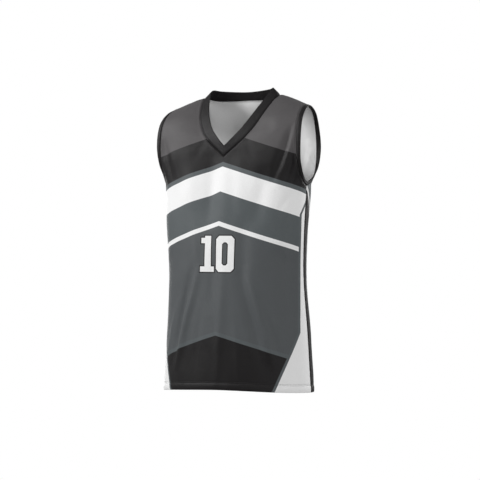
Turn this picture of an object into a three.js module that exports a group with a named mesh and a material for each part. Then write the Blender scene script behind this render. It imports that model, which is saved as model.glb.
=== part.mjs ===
// Sleeveless V-neck basketball jersey, hollow, in the shape it has when it is worn.
// Millimetres, +Z up, front towards -Y, wearer's left towards +X.
// The origin is midway between the neck ends of the two shoulder seams.

import * as THREE from 'three';

// Cloth and sewing
const WALL = 1.8;
const HEM_WALL = 2.8;
const HEM_DEPTH = 20;
const SEAM_GAP = 0.3;

// Heights of the level rows below the armholes, counted up from the hem edge
const HEM_Z = -712;
const HEM_STEP = 1.5;
const HEM_HEIGHTS = [0, HEM_DEPTH - HEM_STEP, HEM_DEPTH + HEM_STEP];
const LEVEL_HEIGHTS = [...HEM_HEIGHTS, 75, 135, 195, 255, 315, 375, 437, 499];
const ARMPIT_ROW = LEVEL_HEIGHTS.length - 1;
const ARMPIT_Z = HEM_Z + LEVEL_HEIGHTS[ARMPIT_ROW];

// Columns in half a panel, and how many rows each stretch above the armpit is cut into
const COLUMNS = 20;
const CHEST_ROWS = 6;
const NECK_ROWS = 11;
const BLADE_ROWS = 8;
const YOKE_ROWS = 6;

// Column of the back's half that ends at the neck end of the shoulder seam
const NECK_COLUMN = 11;

// Height of the row where the back starts to curve over to the neck and the shoulders
const YOKE_Z = -60;

// Bezier reaches: a quarter of an ellipse, and a nearly straight row that ends at an armhole
const ROUND_REACH = 0.55;
const FLAT_REACH = 0.37;

// Side seam: height, distance from the middle, and how far back it lies
const SIDE_SEAM = [
  { z: -712, x: 201, y: -23 },
  { z: -567, x: 192, y: -23 },
  { z: -430, x: 184, y: -28 },
  { z: -322, x: 187.5, y: -32 },
  { z: -213, x: 192.5, y: -28 },
];

// Centre line of the front up to the point of the V. full is the roundness of the corner between the
// centre and the side, where 1 is an ellipse.
const FRONT_CENTRE = [
  { z: -712, y: -135, full: 1.0 },
  { z: -567, y: -129, full: 1.02 },
  { z: -430, y: -123, full: 1.06 },
  { z: -322, y: -116, full: 1.16 },
  { z: -213, y: -105, full: 1.3 },
  { z: -141, y: -91, full: 1.3 },
];

// Centre line of the back up to the neck seam
const BACK_CENTRE = [
  { z: -712, y: 88, full: 1.0 },
  { z: -567, y: 84, full: 1.0 },
  { z: -430, y: 76, full: 1.0 },
  { z: -322, y: 78, full: 1.04 },
  { z: -260, y: 85, full: 1.08 },
  { z: -213, y: 86, full: 1.1 },
  { z: -127, y: 72, full: 1.1 },
  { z: -60, y: 53, full: 1.1 },
  { z: 1, y: 36, full: 1.1 },
];

// Left armhole, once round from the armpit by the front: the seam on the panels, the free edge of the
// band, and how far a row has turned towards the other panel where it ends there, in degrees
const ARMHOLE = numbered([
  { name: 'armpit', x: 192.5, y: -28, z: -213, lipX: 191.5, lipY: -27, lipZ: -202, turn: 90 },
  { name: 'front_low', x: 190, y: -67, z: -173, lipX: 196, lipY: -64, lipZ: -165, turn: 50 },
  { name: 'front_mid', x: 189.3, y: -77.5, z: -115, lipX: 200, lipY: -75, lipZ: -115, turn: 17 },
  { name: 'front_high', x: 188.5, y: -68, z: -60, lipX: 199, lipY: -66, lipZ: -64, turn: 11 },
  { name: 'front_top', x: 185.5, y: -44, z: -31, lipX: 195.5, lipY: -43, lipZ: -36, turn: 8 },
  { name: 'shoulder_tip', x: 181, y: -8, z: -17.5, lipX: 191, lipY: -8, lipZ: -22, turn: 0 },
  { name: 'back_top', x: 185, y: 12, z: -31, lipX: 195, lipY: 10, lipZ: -36, turn: 8 },
  { name: 'back_high', x: 186.5, y: 24.5, z: -60, lipX: 197, lipY: 22, lipZ: -64, turn: 11 },
  { name: 'back_mid', x: 187.5, y: 33.5, z: -127, lipX: 198.5, lipY: 31, lipZ: -125, turn: 17 },
  { name: 'back_low', x: 190, y: 18, z: -185, lipX: 196, lipY: 14, lipZ: -176, turn: 45 },
  { name: 'armpit', x: 192.5, y: -28, z: -213, lipX: 191.5, lipY: -27, lipZ: -202, turn: 90 },
]);
const SHOULDER_TIP = placeOf(ARMHOLE, 'shoulder_tip');
const BACK_HIGH = placeOf(ARMHOLE, 'back_high');
const ONCE_ROUND = ARMHOLE.length - 1;

// Left half of the neck, from the point of the V round to the centre of the back: the seam on the
// panels and the free edge of the band. On the front, aim is how far forward a row heads where it
// starts there, in degrees, and drop is the power of the way along it that its height falls by.
const NECK = numbered([
  { name: 'v_point', x: 0, y: -91, z: -141, lipX: 0, lipY: -90, lipZ: -115, aim: 0, drop: 1.8 },
  { name: 'v_low', x: 28, y: -88, z: -118, lipX: 13, lipY: -87.5, lipZ: -103, aim: 3, drop: 1.5 },
  { name: 'v_mid', x: 56.5, y: -81.5, z: -92, lipX: 38.7, lipY: -77.5, lipZ: -75, aim: 8, drop: 1.3 },
  { name: 'v_high', x: 73, y: -70.5, z: -69, lipX: 51, lipY: -68, lipZ: -56.5, aim: 12, drop: 1.2 },
  { name: 'collarbone', x: 87, y: -55, z: -40, lipX: 64.5, lipY: -51, lipZ: -30, aim: 18, drop: 1.2 },
  { name: 'neck_side', x: 100, y: -22, z: -3, lipX: 78.5, lipY: -24, lipZ: 3, aim: 18, drop: 1.25 },
  { name: 'shoulder', x: 104, y: 0, z: 9, lipX: 84, lipY: 0, lipZ: 26, aim: 6, drop: 1.25 },
  { name: 'neck_back', x: 85, y: 22, z: 4, lipX: 68, lipY: 14, lipZ: 24.5 },
  { name: 'back_centre', x: 0, y: 36, z: 1, lipX: 0, lipY: 27, lipZ: 21 },
]);
const NECK_SHOULDER = placeOf(NECK, 'shoulder');
const NECK_BACK = placeOf(NECK, 'back_centre');
const FRONT_NECK = NECK.slice(0, NECK_SHOULDER + 1);

// Place on the armhole that the row through the point of the V runs to
const V_ROW_PLACE = 1.4;

// Ways in which the columns of the back's left half arrive at the neck
const ARRIVAL_AT_CENTRE = new THREE.Vector3(0, -0.35, 0.94);
const ARRIVAL_AT_NECK_END = new THREE.Vector3(-0.44, -0.62, -0.02);

// How far the hem edge rises above its nominal height, by the share of the half width, left positive
const HEM_LIFT = {
  front: [
    { share: -1, lift: -2 },
    { share: -0.45, lift: 8 },
    { share: 0, lift: 13.5 },
    { share: 0.35, lift: 13 },
    { share: 0.65, lift: 10.5 },
    { share: 1, lift: 8 },
  ],
  back: [
    { share: -1, lift: -2 },
    { share: 0, lift: 3 },
    { share: 1, lift: 8 },
  ],
};
const HEM_LIFT_FADE = 255;

// Largest folds, each along a straight line on the cloth: distance across from the centre line and
// height at both ends, half its width, and how far it stands out, or lies in where that is negative
const FOLDS = {
  front: [
    { fromAcross: 176, fromZ: -62, toAcross: 128, toZ: -190, halfWidth: 10, out: -5 },
    { fromAcross: 200, fromZ: -104, toAcross: 154, toZ: -214, halfWidth: 9, out: -4 },
    { fromAcross: -180, fromZ: -92, toAcross: -146, toZ: -208, halfWidth: 12, out: -3 },
    { fromAcross: 128, fromZ: -34, toAcross: 140, toZ: -90, halfWidth: 14, out: 1.5 },
    { fromAcross: -104, fromZ: -120, toAcross: -90, toZ: -330, halfWidth: 20, out: 2.5 },
    { fromAcross: -31, fromZ: -128, toAcross: -27, toZ: -320, halfWidth: 22, out: -2.5 },
    { fromAcross: 4, fromZ: -150, toAcross: 22, toZ: -330, halfWidth: 20, out: 2 },
    { fromAcross: 119, fromZ: -160, toAcross: 92, toZ: -320, halfWidth: 20, out: -3 },
    { fromAcross: -74, fromZ: -270, toAcross: -62, toZ: -460, halfWidth: 18, out: 2 },
    { fromAcross: 62, fromZ: -280, toAcross: 68, toZ: -480, halfWidth: 20, out: -3 },
    { fromAcross: -52, fromZ: -400, toAcross: -130, toZ: -660, halfWidth: 13, out: 4.5 },
    { fromAcross: -70, fromZ: -400, toAcross: -150, toZ: -660, halfWidth: 12, out: -4 },
    { fromAcross: 70, fromZ: -400, toAcross: 150, toZ: -650, halfWidth: 13, out: 4.5 },
    { fromAcross: 56, fromZ: -410, toAcross: 132, toZ: -670, halfWidth: 14, out: -4 },
    { fromAcross: 18, fromZ: -370, toAcross: 3, toZ: -712, halfWidth: 12, out: 1.5 },
    { fromAcross: -12, fromZ: -360, toAcross: -16, toZ: -520, halfWidth: 14, out: -1.5 },
  ],
  back: [
    { fromAcross: 160, fromZ: -98, toAcross: 196, toZ: -168, halfWidth: 9, out: -3.5 },
    { fromAcross: 176, fromZ: -120, toAcross: 136, toZ: -240, halfWidth: 13, out: -4 },
    { fromAcross: -180, fromZ: -96, toAcross: -138, toZ: -222, halfWidth: 12, out: -4.5 },
    { fromAcross: 92, fromZ: -170, toAcross: 72, toZ: -440, halfWidth: 22, out: 3 },
    { fromAcross: 2, fromZ: -120, toAcross: -8, toZ: -430, halfWidth: 26, out: -4 },
    { fromAcross: -98, fromZ: -160, toAcross: -78, toZ: -420, halfWidth: 20, out: 3 },
    { fromAcross: 156, fromZ: -320, toAcross: 84, toZ: -420, halfWidth: 13, out: -3 },
    { fromAcross: -152, fromZ: -344, toAcross: -90, toZ: -428, halfWidth: 12, out: -3 },
    { fromAcross: -54, fromZ: -430, toAcross: -122, toZ: -700, halfWidth: 16, out: 4.5 },
    { fromAcross: -82, fromZ: -440, toAcross: -152, toZ: -690, halfWidth: 14, out: -4 },
    { fromAcross: 50, fromZ: -440, toAcross: 104, toZ: -712, halfWidth: 18, out: 4 },
    { fromAcross: 76, fromZ: -430, toAcross: 138, toZ: -690, halfWidth: 15, out: -4 },
    { fromAcross: -6, fromZ: -460, toAcross: 8, toZ: -712, halfWidth: 20, out: 3 },
  ],
};

// Folds die away over these distances from the side seams and armholes and from the neck, and over
// this many rows up to the shoulder
const SIDE_FADE = 12;
const NECK_FADE = 12;
const SHOULDER_FADE_ROWS = 3;

// Section of a sewn band, from its seam to its free edge: share of the way across, half its thickness
const BAND_SECTION = [
  { across: 0.35, half: 1.2 },
  { across: 0.85, half: 1.3 },
  { across: 1.0, half: 0.6 },
];

// Rows and columns next to the armpit over which the cloth is eased, and how often
const EASE_ROWS = 3;
const EASE_COLUMNS = 5;
const EASE_PASSES = 4;

const SIDES = { left: 1, right: -1 };
const OTHER_SIDE = { left: 'right', right: 'left' };
const { degToRad, lerp, smoothstep } = THREE.MathUtils;

function numbered(rows) {
  return rows.map((row, place) => ({ ...row, place }));
}

function placeOf(rows, name) {
  return rows.find((row) => row.name === name).place;
}

function hermite(start, startSlope, end, endSlope, share) {
  const squared = share * share;
  const cubed = squared * share;
  return start * (2 * cubed - 3 * squared + 1)
    + startSlope * (cubed - 2 * squared + share)
    + end * (3 * squared - 2 * cubed)
    + endSlope * (cubed - squared);
}

// Value of a table's column where its key column has a given value, on a smooth curve through the rows
function smoothValue(rows, key, column, wanted) {
  const last = rows.length - 1;
  const slope = (at) => {
    const before = rows[Math.max(at - 1, 0)];
    const after = rows[Math.min(at + 1, last)];
    return (after[column] - before[column]) / (after[key] - before[key]);
  };
  let at = 0;
  while (at < last - 1 && wanted > rows[at + 1][key]) {
    at += 1;
  }
  const span = rows[at + 1][key] - rows[at][key];
  const share = (wanted - rows[at][key]) / span;
  return hermite(rows[at][column], slope(at) * span, rows[at + 1][column], slope(at + 1) * span, share);
}

// Loops of the seams and the free edges. The neck loops run from the V round the neck back to the V.
const seamPoint = (row) => new THREE.Vector3(row.x, row.y, row.z);
const lipPoint = (row) => new THREE.Vector3(row.lipX, row.lipY, row.lipZ);
const mirrored = (point) => new THREE.Vector3(-point.x, point.y, point.z);

function armholeLoop(pick) {
  return new THREE.CatmullRomCurve3(ARMHOLE.slice(0, -1).map(pick), true, 'centripetal');
}

function neckLoop(pick) {
  const half = NECK.map(pick);
  const otherHalf = half.slice(0, -1).reverse().map(mirrored);
  return new THREE.CatmullRomCurve3([...half, ...otherHalf], false, 'centripetal');
}

const loops = {
  armhole: { seam: armholeLoop(seamPoint), lip: armholeLoop(lipPoint), places: ONCE_ROUND },
  neck: { seam: neckLoop(seamPoint), lip: neckLoop(lipPoint), places: 2 * NECK_BACK },
};
const pointOn = (opening, edge, place) => loops[opening][edge].getPoint(place / loops[opening].places);
const onArmhole = (place) => pointOn('armhole', 'seam', place);
const onNeck = (place) => pointOn('neck', 'seam', place);

// Places that cut a stretch of a seam into equal lengths
function evenPlaces(pointAt, from, to, count) {
  const samples = 240;
  const places = [from];
  const lengths = [0];
  let before = pointAt(from);
  for (let step = 1; step <= samples; step += 1) {
    const place = from + (to - from) * step / samples;
    const here = pointAt(place);
    places.push(place);
    lengths.push(lengths[step - 1] + here.distanceTo(before));
    before = here;
  }
  const even = [from];
  for (let part = 1; part < count; part += 1) {
    const wanted = lengths[samples] * part / count;
    const after = lengths.findIndex((length) => length >= wanted);
    const share = (wanted - lengths[after - 1]) / (lengths[after] - lengths[after - 1]);
    even.push(lerp(places[after - 1], places[after], share));
  }
  even.push(to);
  return even;
}

// Row of a panel's left half, as a function of the share of the way along it. towards is the way along
// Y to the other panel, and across is the distance across the cloth from the centre line.
function rowCurve(row, towards) {
  const turn = degToRad(row.turn);
  const aim = degToRad(row.aim);
  const width = row.end.x - row.start.x;
  const depth = Math.abs(row.end.y - row.start.y);
  const roundReach = ROUND_REACH * row.full;
  const startReach = width * (FLAT_REACH + (roundReach - FLAT_REACH) * Math.sin(turn));
  const endReach = FLAT_REACH * width * Math.cos(turn) ** 2 + roundReach * depth * Math.sin(turn);
  const start = new THREE.Vector2(row.start.x, row.start.y);
  const end = new THREE.Vector2(row.end.x, row.end.y);
  const startHandle = new THREE.Vector2(Math.cos(aim), -Math.sin(aim));
  startHandle.multiplyScalar(startReach).add(start);
  const endHandle = new THREE.Vector2(-Math.cos(turn), -towards * Math.sin(turn));
  endHandle.multiplyScalar(endReach).add(end);
  const plan = new THREE.CubicBezierCurve(start, startHandle, endHandle, end);
  const length = plan.getLength();
  return (share) => {
    const flat = plan.getPointAt(share);
    const z = row.start.z + (row.end.z - row.start.z) * share ** row.drop;
    return { place: new THREE.Vector3(flat.x, flat.y, z), across: row.start.x + share * length };
  };
}

// Level row from the centre line to the side seam
function levelRow(centre, z) {
  return {
    start: new THREE.Vector3(0, smoothValue(centre, 'z', 'y', z), z),
    end: new THREE.Vector3(smoothValue(SIDE_SEAM, 'z', 'x', z), smoothValue(SIDE_SEAM, 'z', 'y', z), z),
    full: smoothValue(centre, 'z', 'full', z),
    turn: ARMHOLE[0].turn,
    aim: 0,
    drop: NECK[0].drop,
  };
}

// Row from the centre line to a place on the armhole
function centreRow(centre, z, place) {
  const turn = smoothValue(ARMHOLE, 'place', 'turn', place);
  return { ...levelRow(centre, z), end: onArmhole(place), turn };
}

// Row from a place on the neck to a place on the armhole
function neckRow(neckPlace, armholePlace) {
  return {
    start: onNeck(neckPlace),
    end: onArmhole(armholePlace),
    full: 1,
    turn: smoothValue(ARMHOLE, 'place', 'turn', armholePlace),
    aim: smoothValue(FRONT_NECK, 'place', 'aim', neckPlace),
    drop: smoothValue(FRONT_NECK, 'place', 'drop', neckPlace),
  };
}

function rowPoints(row, towards) {
  const curve = rowCurve(row, towards);
  return Array.from({ length: COLUMNS + 1 }, (_, column) => curve(column / COLUMNS));
}

// Rows drawn halfway to the straight line between their neighbours round the armpit, over and over,
// but not at the side, so that no crease runs across the panel from the corner of the armhole
function easedRows(rows) {
  let eased = rows;
  for (let pass = 0; pass < EASE_PASSES; pass += 1) {
    const before = eased;
    eased = before.map((points, row) => {
      if (Math.abs(row - ARMPIT_ROW) > EASE_ROWS) {
        return points;
      }
      return points.map((point, column) => {
        const below = before[row - 1][column].place;
        const above = before[row + 1][column].place;
        const toBelow = point.place.distanceTo(below);
        const level = toBelow / (toBelow + point.place.distanceTo(above));
        const weight = smoothstep(COLUMNS - column, 0, EASE_COLUMNS) / 2;
        return { ...point, place: point.place.clone().lerp(below.clone().lerp(above, level), weight) };
      });
    });
  }
  return eased;
}

// Shoulder seam from its neck end, and the ways along it and over it from front to back
const shoulderCurve = rowCurve(neckRow(NECK_SHOULDER, SHOULDER_TIP), 1);

function shoulderWays(share) {
  const step = 0.02;
  const along = shoulderCurve(Math.min(share + step, 1)).place;
  along.sub(shoulderCurve(Math.max(share - step, 0)).place).normalize();
  const overNeck = onNeck(NECK_SHOULDER + step).sub(onNeck(NECK_SHOULDER - step)).normalize();
  const overTip = onArmhole(SHOULDER_TIP + step).sub(onArmhole(SHOULDER_TIP - step)).normalize();
  return { along, over: overNeck.lerp(overTip, share).normalize() };
}

// Left half of the front: rows from the hem to the shoulder seam, those above the V from the neck out
function frontHalf() {
  const chestPlaces = evenPlaces(onArmhole, 0, V_ROW_PLACE, CHEST_ROWS);
  const upperPlaces = evenPlaces(onArmhole, V_ROW_PLACE, SHOULDER_TIP, NECK_ROWS);
  const neckPlaces = evenPlaces(onNeck, 0, NECK_SHOULDER, NECK_ROWS);
  const rows = LEVEL_HEIGHTS.map((height) => levelRow(FRONT_CENTRE, HEM_Z + height));
  for (let step = 1; step <= CHEST_ROWS; step += 1) {
    const z = lerp(ARMPIT_Z, NECK[0].z, step / CHEST_ROWS);
    rows.push(centreRow(FRONT_CENTRE, z, chestPlaces[step]));
  }
  for (let step = 1; step <= NECK_ROWS; step += 1) {
    rows.push(neckRow(neckPlaces[step], upperPlaces[step]));
  }
  const joinedRows = ARMPIT_ROW + CHEST_ROWS;
  return {
    rows: easedRows(rows.map((row) => rowPoints(row, 1))),
    joinedRows,
    shoulderColumn: 0,
    armholePlaces: [...chestPlaces, ...upperPlaces.slice(1)],
    neckEdge: neckPlaces.map((place, step) => ({ place, row: joinedRows + step, column: 0 })),
  };
}

// Way in which a column of the back's left half arrives at its upper end
function arrivalWay(column) {
  if (column <= NECK_COLUMN) {
    return ARRIVAL_AT_CENTRE.clone().lerp(ARRIVAL_AT_NECK_END, column / NECK_COLUMN).normalize();
  }
  const share = (column - NECK_COLUMN) / (COLUMNS - NECK_COLUMN);
  return ARRIVAL_AT_NECK_END.clone().lerp(shoulderWays(1).over.negate(), share).normalize();
}

// Left half of the back: level rows, then columns that curve over to the neck and the shoulder seam
function backHalf() {
  const bladePlaces = evenPlaces(onArmhole, ONCE_ROUND, BACK_HIGH, BLADE_ROWS);
  const yokePlaces = evenPlaces(onArmhole, BACK_HIGH, SHOULDER_TIP, YOKE_ROWS);
  const neckPlaces = evenPlaces(onNeck, NECK_BACK, NECK_SHOULDER, NECK_COLUMN);
  const levelRows = LEVEL_HEIGHTS.map((height) => levelRow(BACK_CENTRE, HEM_Z + height));
  for (let step = 1; step <= BLADE_ROWS; step += 1) {
    const z = lerp(ARMPIT_Z, YOKE_Z, step / BLADE_ROWS);
    levelRows.push(centreRow(BACK_CENTRE, z, bladePlaces[step]));
  }
  const rows = easedRows(levelRows.map((row) => rowPoints(row, -1)));
  const [rowBelow, yokeRow] = rows.slice(-2);
  const topRow = Array.from({ length: COLUMNS + 1 }, (_, column) => {
    if (column <= NECK_COLUMN) {
      const place = onNeck(neckPlaces[column]);
      return { place, across: place.x };
    }
    return shoulderCurve((column - NECK_COLUMN) / (COLUMNS - NECK_COLUMN));
  });
  const columnPoint = (column, share) => {
    const from = yokeRow[column].place;
    const to = topRow[column].place;
    const reach = from.distanceTo(to);
    const leave = from.clone().sub(rowBelow[column].place).setLength(reach);
    const arrive = arrivalWay(column).setLength(reach);
    const along = (axis) => hermite(from[axis], leave[axis], to[axis], arrive[axis], share);
    return new THREE.Vector3(along('x'), along('y'), along('z'));
  };
  for (let step = 1; step < YOKE_ROWS; step += 1) {
    const share = step / YOKE_ROWS;
    const centre = columnPoint(0, share);
    const centreShift = smoothValue(BACK_CENTRE, 'z', 'y', centre.z) - centre.y;
    const edgeShift = onArmhole(yokePlaces[step]).sub(columnPoint(COLUMNS, share));
    rows.push(yokeRow.map((low, column) => {
      const outward = column / COLUMNS;
      const place = columnPoint(column, share);
      place.y += centreShift * (1 - outward) ** 2;
      place.addScaledVector(edgeShift, outward ** 2);
      return { place, across: lerp(low.across, topRow[column].across, share) };
    }));
  }
  rows.push(topRow);
  return {
    rows,
    joinedRows: rows.length - 1,
    shoulderColumn: NECK_COLUMN,
    armholePlaces: [...bladePlaces, ...yokePlaces.slice(1)],
    neckEdge: neckPlaces.map((place, column) => ({ place, row: rows.length - 1, column })),
  };
}

const PANELS = {
  front: { ...frontHalf(), towards: 1 },
  back: { ...backHalf(), towards: -1 },
};

// Height by which the hem's rise lifts a point of a level row
function hemLift(panel, row, share) {
  const height = LEVEL_HEIGHTS[row] ?? HEM_LIFT_FADE;
  const fade = 1 - smoothstep(height, HEM_DEPTH, HEM_LIFT_FADE);
  return smoothValue(HEM_LIFT[panel], 'share', 'lift', share) * fade;
}

// Both halves of each panel without its folds: skin[panel][side][row][column]
function smoothSkin() {
  const skin = {};
  for (const [panel, { rows }] of Object.entries(PANELS)) {
    skin[panel] = {};
    for (const [side, sign] of Object.entries(SIDES)) {
      skin[panel][side] = rows.map((points, row) => points.map(({ place, across }, column) => {
        const z = place.z + hemLift(panel, row, sign * column / COLUMNS);
        return { place: new THREE.Vector3(sign * place.x, place.y, z), across: sign * across };
      }));
    }
  }
  return skin;
}

// Ways across, up and out of the cloth at a point of a skin. On a seam both panels give the same ones.
function waysAt(skin, panel, side, row, column) {
  const { towards, joinedRows, shoulderColumn, rows } = PANELS[panel];
  const sign = SIDES[side];
  const topRow = rows.length - 1;
  const here = skin[panel][side][row][column].place;
  const placeAt = (atSide, atRow, atColumn) => skin[panel][atSide]?.[atRow]?.[atColumn]?.place ?? here;
  const isSideSeam = column === COLUMNS && row <= ARMPIT_ROW;
  const isShoulder = row === topRow && column >= shoulderColumn;
  const isVPoint = panel === 'front' && row === joinedRows && column === 0;
  let across;
  let up;
  if (isShoulder) {
    const ways = shoulderWays((column - shoulderColumn) / (COLUMNS - shoulderColumn));
    across = ways.along;
    up = ways.over.multiplyScalar(towards);
    across.x *= sign;
    up.x *= sign;
  } else {
    const isJoined = column === 0 && row <= joinedRows;
    const inner = isJoined ? placeAt(OTHER_SIDE[side], row, 1) : placeAt(side, row, column - 1);
    const outer = placeAt(side, row, column + 1);
    const higher = isVPoint ? here : placeAt(side, row + 1, column);
    across = isSideSeam ? new THREE.Vector3(0, towards, 0) : outer.clone().sub(inner);
    up = higher.clone().sub(placeAt(side, row - 1, column));
  }
  across.normalize();
  up.normalize();
  const out = across.clone().cross(up).multiplyScalar(sign * towards).normalize();
  return { across, up, out, isSideSeam, isShoulder };
}

// How far the folds of a panel lift the cloth at one place
function foldLift(panel, across, z) {
  let lift = 0;
  for (const fold of FOLDS[panel]) {
    const along = new THREE.Vector2(fold.toAcross - fold.fromAcross, fold.toZ - fold.fromZ);
    const length = along.length();
    along.normalize();
    const offset = new THREE.Vector2(across - fold.fromAcross, z - fold.fromZ);
    const share = offset.dot(along) / length;
    if (share > 0 && share < 1) {
      const aside = offset.cross(along) / fold.halfWidth;
      lift += fold.out * Math.exp(-aside * aside) * Math.sin(Math.PI * share);
    }
  }
  return lift;
}

// Skin with its folds, which die away towards the seams
function foldedSkin(smooth) {
  const skin = {};
  for (const [panel, { rows, joinedRows }] of Object.entries(PANELS)) {
    skin[panel] = {};
    for (const side of Object.keys(SIDES)) {
      skin[panel][side] = smooth[panel][side].map((points, row) => points.map((point, column) => {
        const fromSide = Math.abs(points[COLUMNS].across - point.across);
        const fromNeck = row < joinedRows ? NECK_FADE : Math.abs(point.across - points[0].across);
        const fade = smoothstep(fromSide, 0, SIDE_FADE) * smoothstep(fromNeck, 0, NECK_FADE)
          * smoothstep(rows.length - 1 - row, 0, SHOULDER_FADE_ROWS);
        const lift = fade * foldLift(panel, point.across, point.place.z);
        const { out } = waysAt(smooth, panel, side, row, column);
        return { ...point, place: point.place.clone().addScaledVector(out, lift) };
      }));
    }
  }
  return skin;
}

const skin = foldedSkin(smoothSkin());

// Edge of a panel where a band is sewn on: the seam, the way out of the cloth there and of the band's
// own face, the free edge, and the way off the panel, long enough to keep the gap in a corner
function bandEdge(opening, panel, side, station) {
  const sign = SIDES[side];
  const seam = skin[panel][side][station.row][station.column].place;
  const { out } = waysAt(skin, panel, side, station.row, station.column);
  const step = 0.01;
  const alongSeam = pointOn(opening, 'seam', station.place + step);
  alongSeam.sub(pointOn(opening, 'seam', Math.max(station.place - step, 0)));
  const lip = pointOn(opening, 'lip', station.place);
  alongSeam.x *= sign;
  lip.x *= sign;
  const toLip = lip.clone().sub(seam);
  const off = alongSeam.clone().cross(out).normalize();
  off.multiplyScalar(Math.sign(off.dot(toLip)));
  const face = alongSeam.clone().cross(toLip).normalize();
  face.multiplyScalar(Math.sign(face.dot(out)));
  if (opening === 'neck' && station.place === 0) {
    off.x = 0;
    off.divideScalar(off.lengthSq());
    face.x = 0;
    face.normalize();
  }
  return { seam, out, lip, off, face };
}

// Places along a panel's armhole and neck edges, from the armpit, the V or the back's centre upwards
function bandStations(opening, panel) {
  const { neckEdge, armholePlaces } = PANELS[panel];
  if (opening === 'neck') {
    return neckEdge;
  }
  return armholePlaces.map((place, step) => ({ place, row: ARMPIT_ROW + step, column: COLUMNS }));
}

// How far a panel's edge is drawn back from its seams, half of the gap to each next piece
function edgeTrim(panel, side, row, column, ways) {
  const trim = new THREE.Vector3();
  const back = -SEAM_GAP / 2;
  if (ways.isSideSeam) {
    trim.addScaledVector(ways.across, back);
  }
  if (ways.isShoulder) {
    trim.addScaledVector(ways.up, back);
  }
  for (const opening of Object.keys(loops)) {
    const isHere = (station) => station.row === row && station.column === column;
    const station = bandStations(opening, panel).find(isHere);
    if (station) {
      trim.addScaledVector(bandEdge(opening, panel, side, station).off, back);
    }
  }
  return trim;
}

function signedVolume(points, triangles) {
  let volume = 0;
  for (let at = 0; at < triangles.length; at += 3) {
    const [first, second, third] = triangles.slice(at, at + 3).map((number) => points[number]);
    volume += first.dot(second.clone().cross(third)) / 6;
  }
  return volume;
}

// Closed body with its faces pointing out
function solidGeometry(points, triangles) {
  const outward = signedVolume(points, triangles) > 0 ? triangles : triangles.toReversed();
  const positions = points.flatMap((point) => point.toArray());
  const geometry = new THREE.BufferGeometry();
  geometry.setAttribute('position', new THREE.Float32BufferAttribute(positions, 3));
  geometry.setIndex(outward);
  geometry.computeVertexNormals();
  return geometry;
}

// Wall between an outer skin and the inner point behind each of its points
function wallGeometry(outer, inner, triangles) {
  const behind = outer.length;
  const faces = [...triangles];
  const edges = new Set();
  for (let at = 0; at < triangles.length; at += 3) {
    const [first, second, third] = triangles.slice(at, at + 3);
    faces.push(third + behind, second + behind, first + behind);
    edges.add(`${first},${second}`);
    edges.add(`${second},${third}`);
    edges.add(`${third},${first}`);
  }
  for (const edge of edges) {
    const [from, to] = edge.split(',').map(Number);
    if (!edges.has(`${to},${from}`)) {
      faces.push(to, from, from + behind, to, from + behind, to + behind);
    }
  }
  return solidGeometry([...outer, ...inner], faces);
}

// Front or back panel, its two halves joined along the centre line
function panelGeometry(panel) {
  const { rows, joinedRows, towards } = PANELS[panel];
  const outer = [];
  const inner = [];
  const triangles = [];
  const numbers = { left: [], right: [] };
  for (const [side, sign] of Object.entries(SIDES)) {
    const isShared = (row, column) => side === 'right' && column === 0 && row <= joinedRows;
    numbers[side] = rows.map((points, row) => points.map((_, column) => {
      if (isShared(row, column)) {
        return numbers.left[row][0];
      }
      const ways = waysAt(skin, panel, side, row, column);
      const onSkin = skin[panel][side][row][column].place.clone();
      onSkin.add(edgeTrim(panel, side, row, column, ways));
      const thickness = LEVEL_HEIGHTS[row] < HEM_DEPTH ? HEM_WALL : WALL;
      outer.push(onSkin);
      inner.push(onSkin.clone().addScaledVector(ways.out, -thickness));
      return outer.length - 1;
    }));
    for (let row = 0; row < rows.length - 1; row += 1) {
      for (let column = 0; column < COLUMNS; column += 1) {
        const [low, lowNext] = numbers[side][row].slice(column, column + 2);
        const [high, highNext] = numbers[side][row + 1].slice(column, column + 2);
        if (sign * towards > 0) {
          triangles.push(low, lowNext, highNext, low, highNext, high);
        } else {
          triangles.push(low, highNext, lowNext, low, high, highNext);
        }
      }
    }
  }
  return wallGeometry(outer, inner, triangles);
}

// Section of a band at one place on its seam, from the seam over the outer face and back inside
function bandSection(edge) {
  const outerCorner = edge.seam.clone().addScaledVector(edge.off, SEAM_GAP / 2);
  const innerCorner = outerCorner.clone().addScaledVector(edge.out, -WALL);
  const middle = outerCorner.clone().lerp(innerCorner, 0.5);
  const outside = [outerCorner];
  const inside = [innerCorner];
  for (const { across, half } of BAND_SECTION) {
    const spine = middle.clone().lerp(edge.lip, across);
    const thick = edge.out.clone().lerp(edge.face, across).normalize();
    outside.push(spine.clone().addScaledVector(thick, half));
    inside.push(spine.clone().addScaledVector(thick, -half));
  }
  return [...outside, ...inside.reverse()];
}

// Closed ring through sections that follow each other round an opening
function ringGeometry(sections) {
  const corners = sections[0].length;
  const triangles = [];
  sections.forEach((_, at) => {
    const here = at * corners;
    const next = ((at + 1) % sections.length) * corners;
    for (let corner = 0; corner < corners; corner += 1) {
      const after = (corner + 1) % corners;
      triangles.push(here + corner, next + corner, next + after, here + corner, next + after, here + after);
    }
  });
  return solidGeometry(sections.flat(), triangles);
}

function bandEdges(opening, panel, side) {
  return bandStations(opening, panel).map((station) => bandEdge(opening, panel, side, station));
}

// A ring's sections run the way round that cuts its face at the seam along the panel's own diagonals
function armbandGeometry(side) {
  const front = bandEdges('armhole', 'front', side);
  const back = bandEdges('armhole', 'back', side);
  const sections = [...front, ...back.slice(1, -1).reverse()].map(bandSection);
  return ringGeometry(side === 'left' ? sections : sections.reverse());
}

function neckbandGeometry() {
  const half = (side) => {
    const front = bandEdges('neck', 'front', side);
    const back = bandEdges('neck', 'back', side);
    return [...front, ...back.slice(0, -1).reverse()];
  };
  return ringGeometry([...half('right'), ...half('left').slice(1, -1).reverse()].map(bandSection));
}

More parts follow.
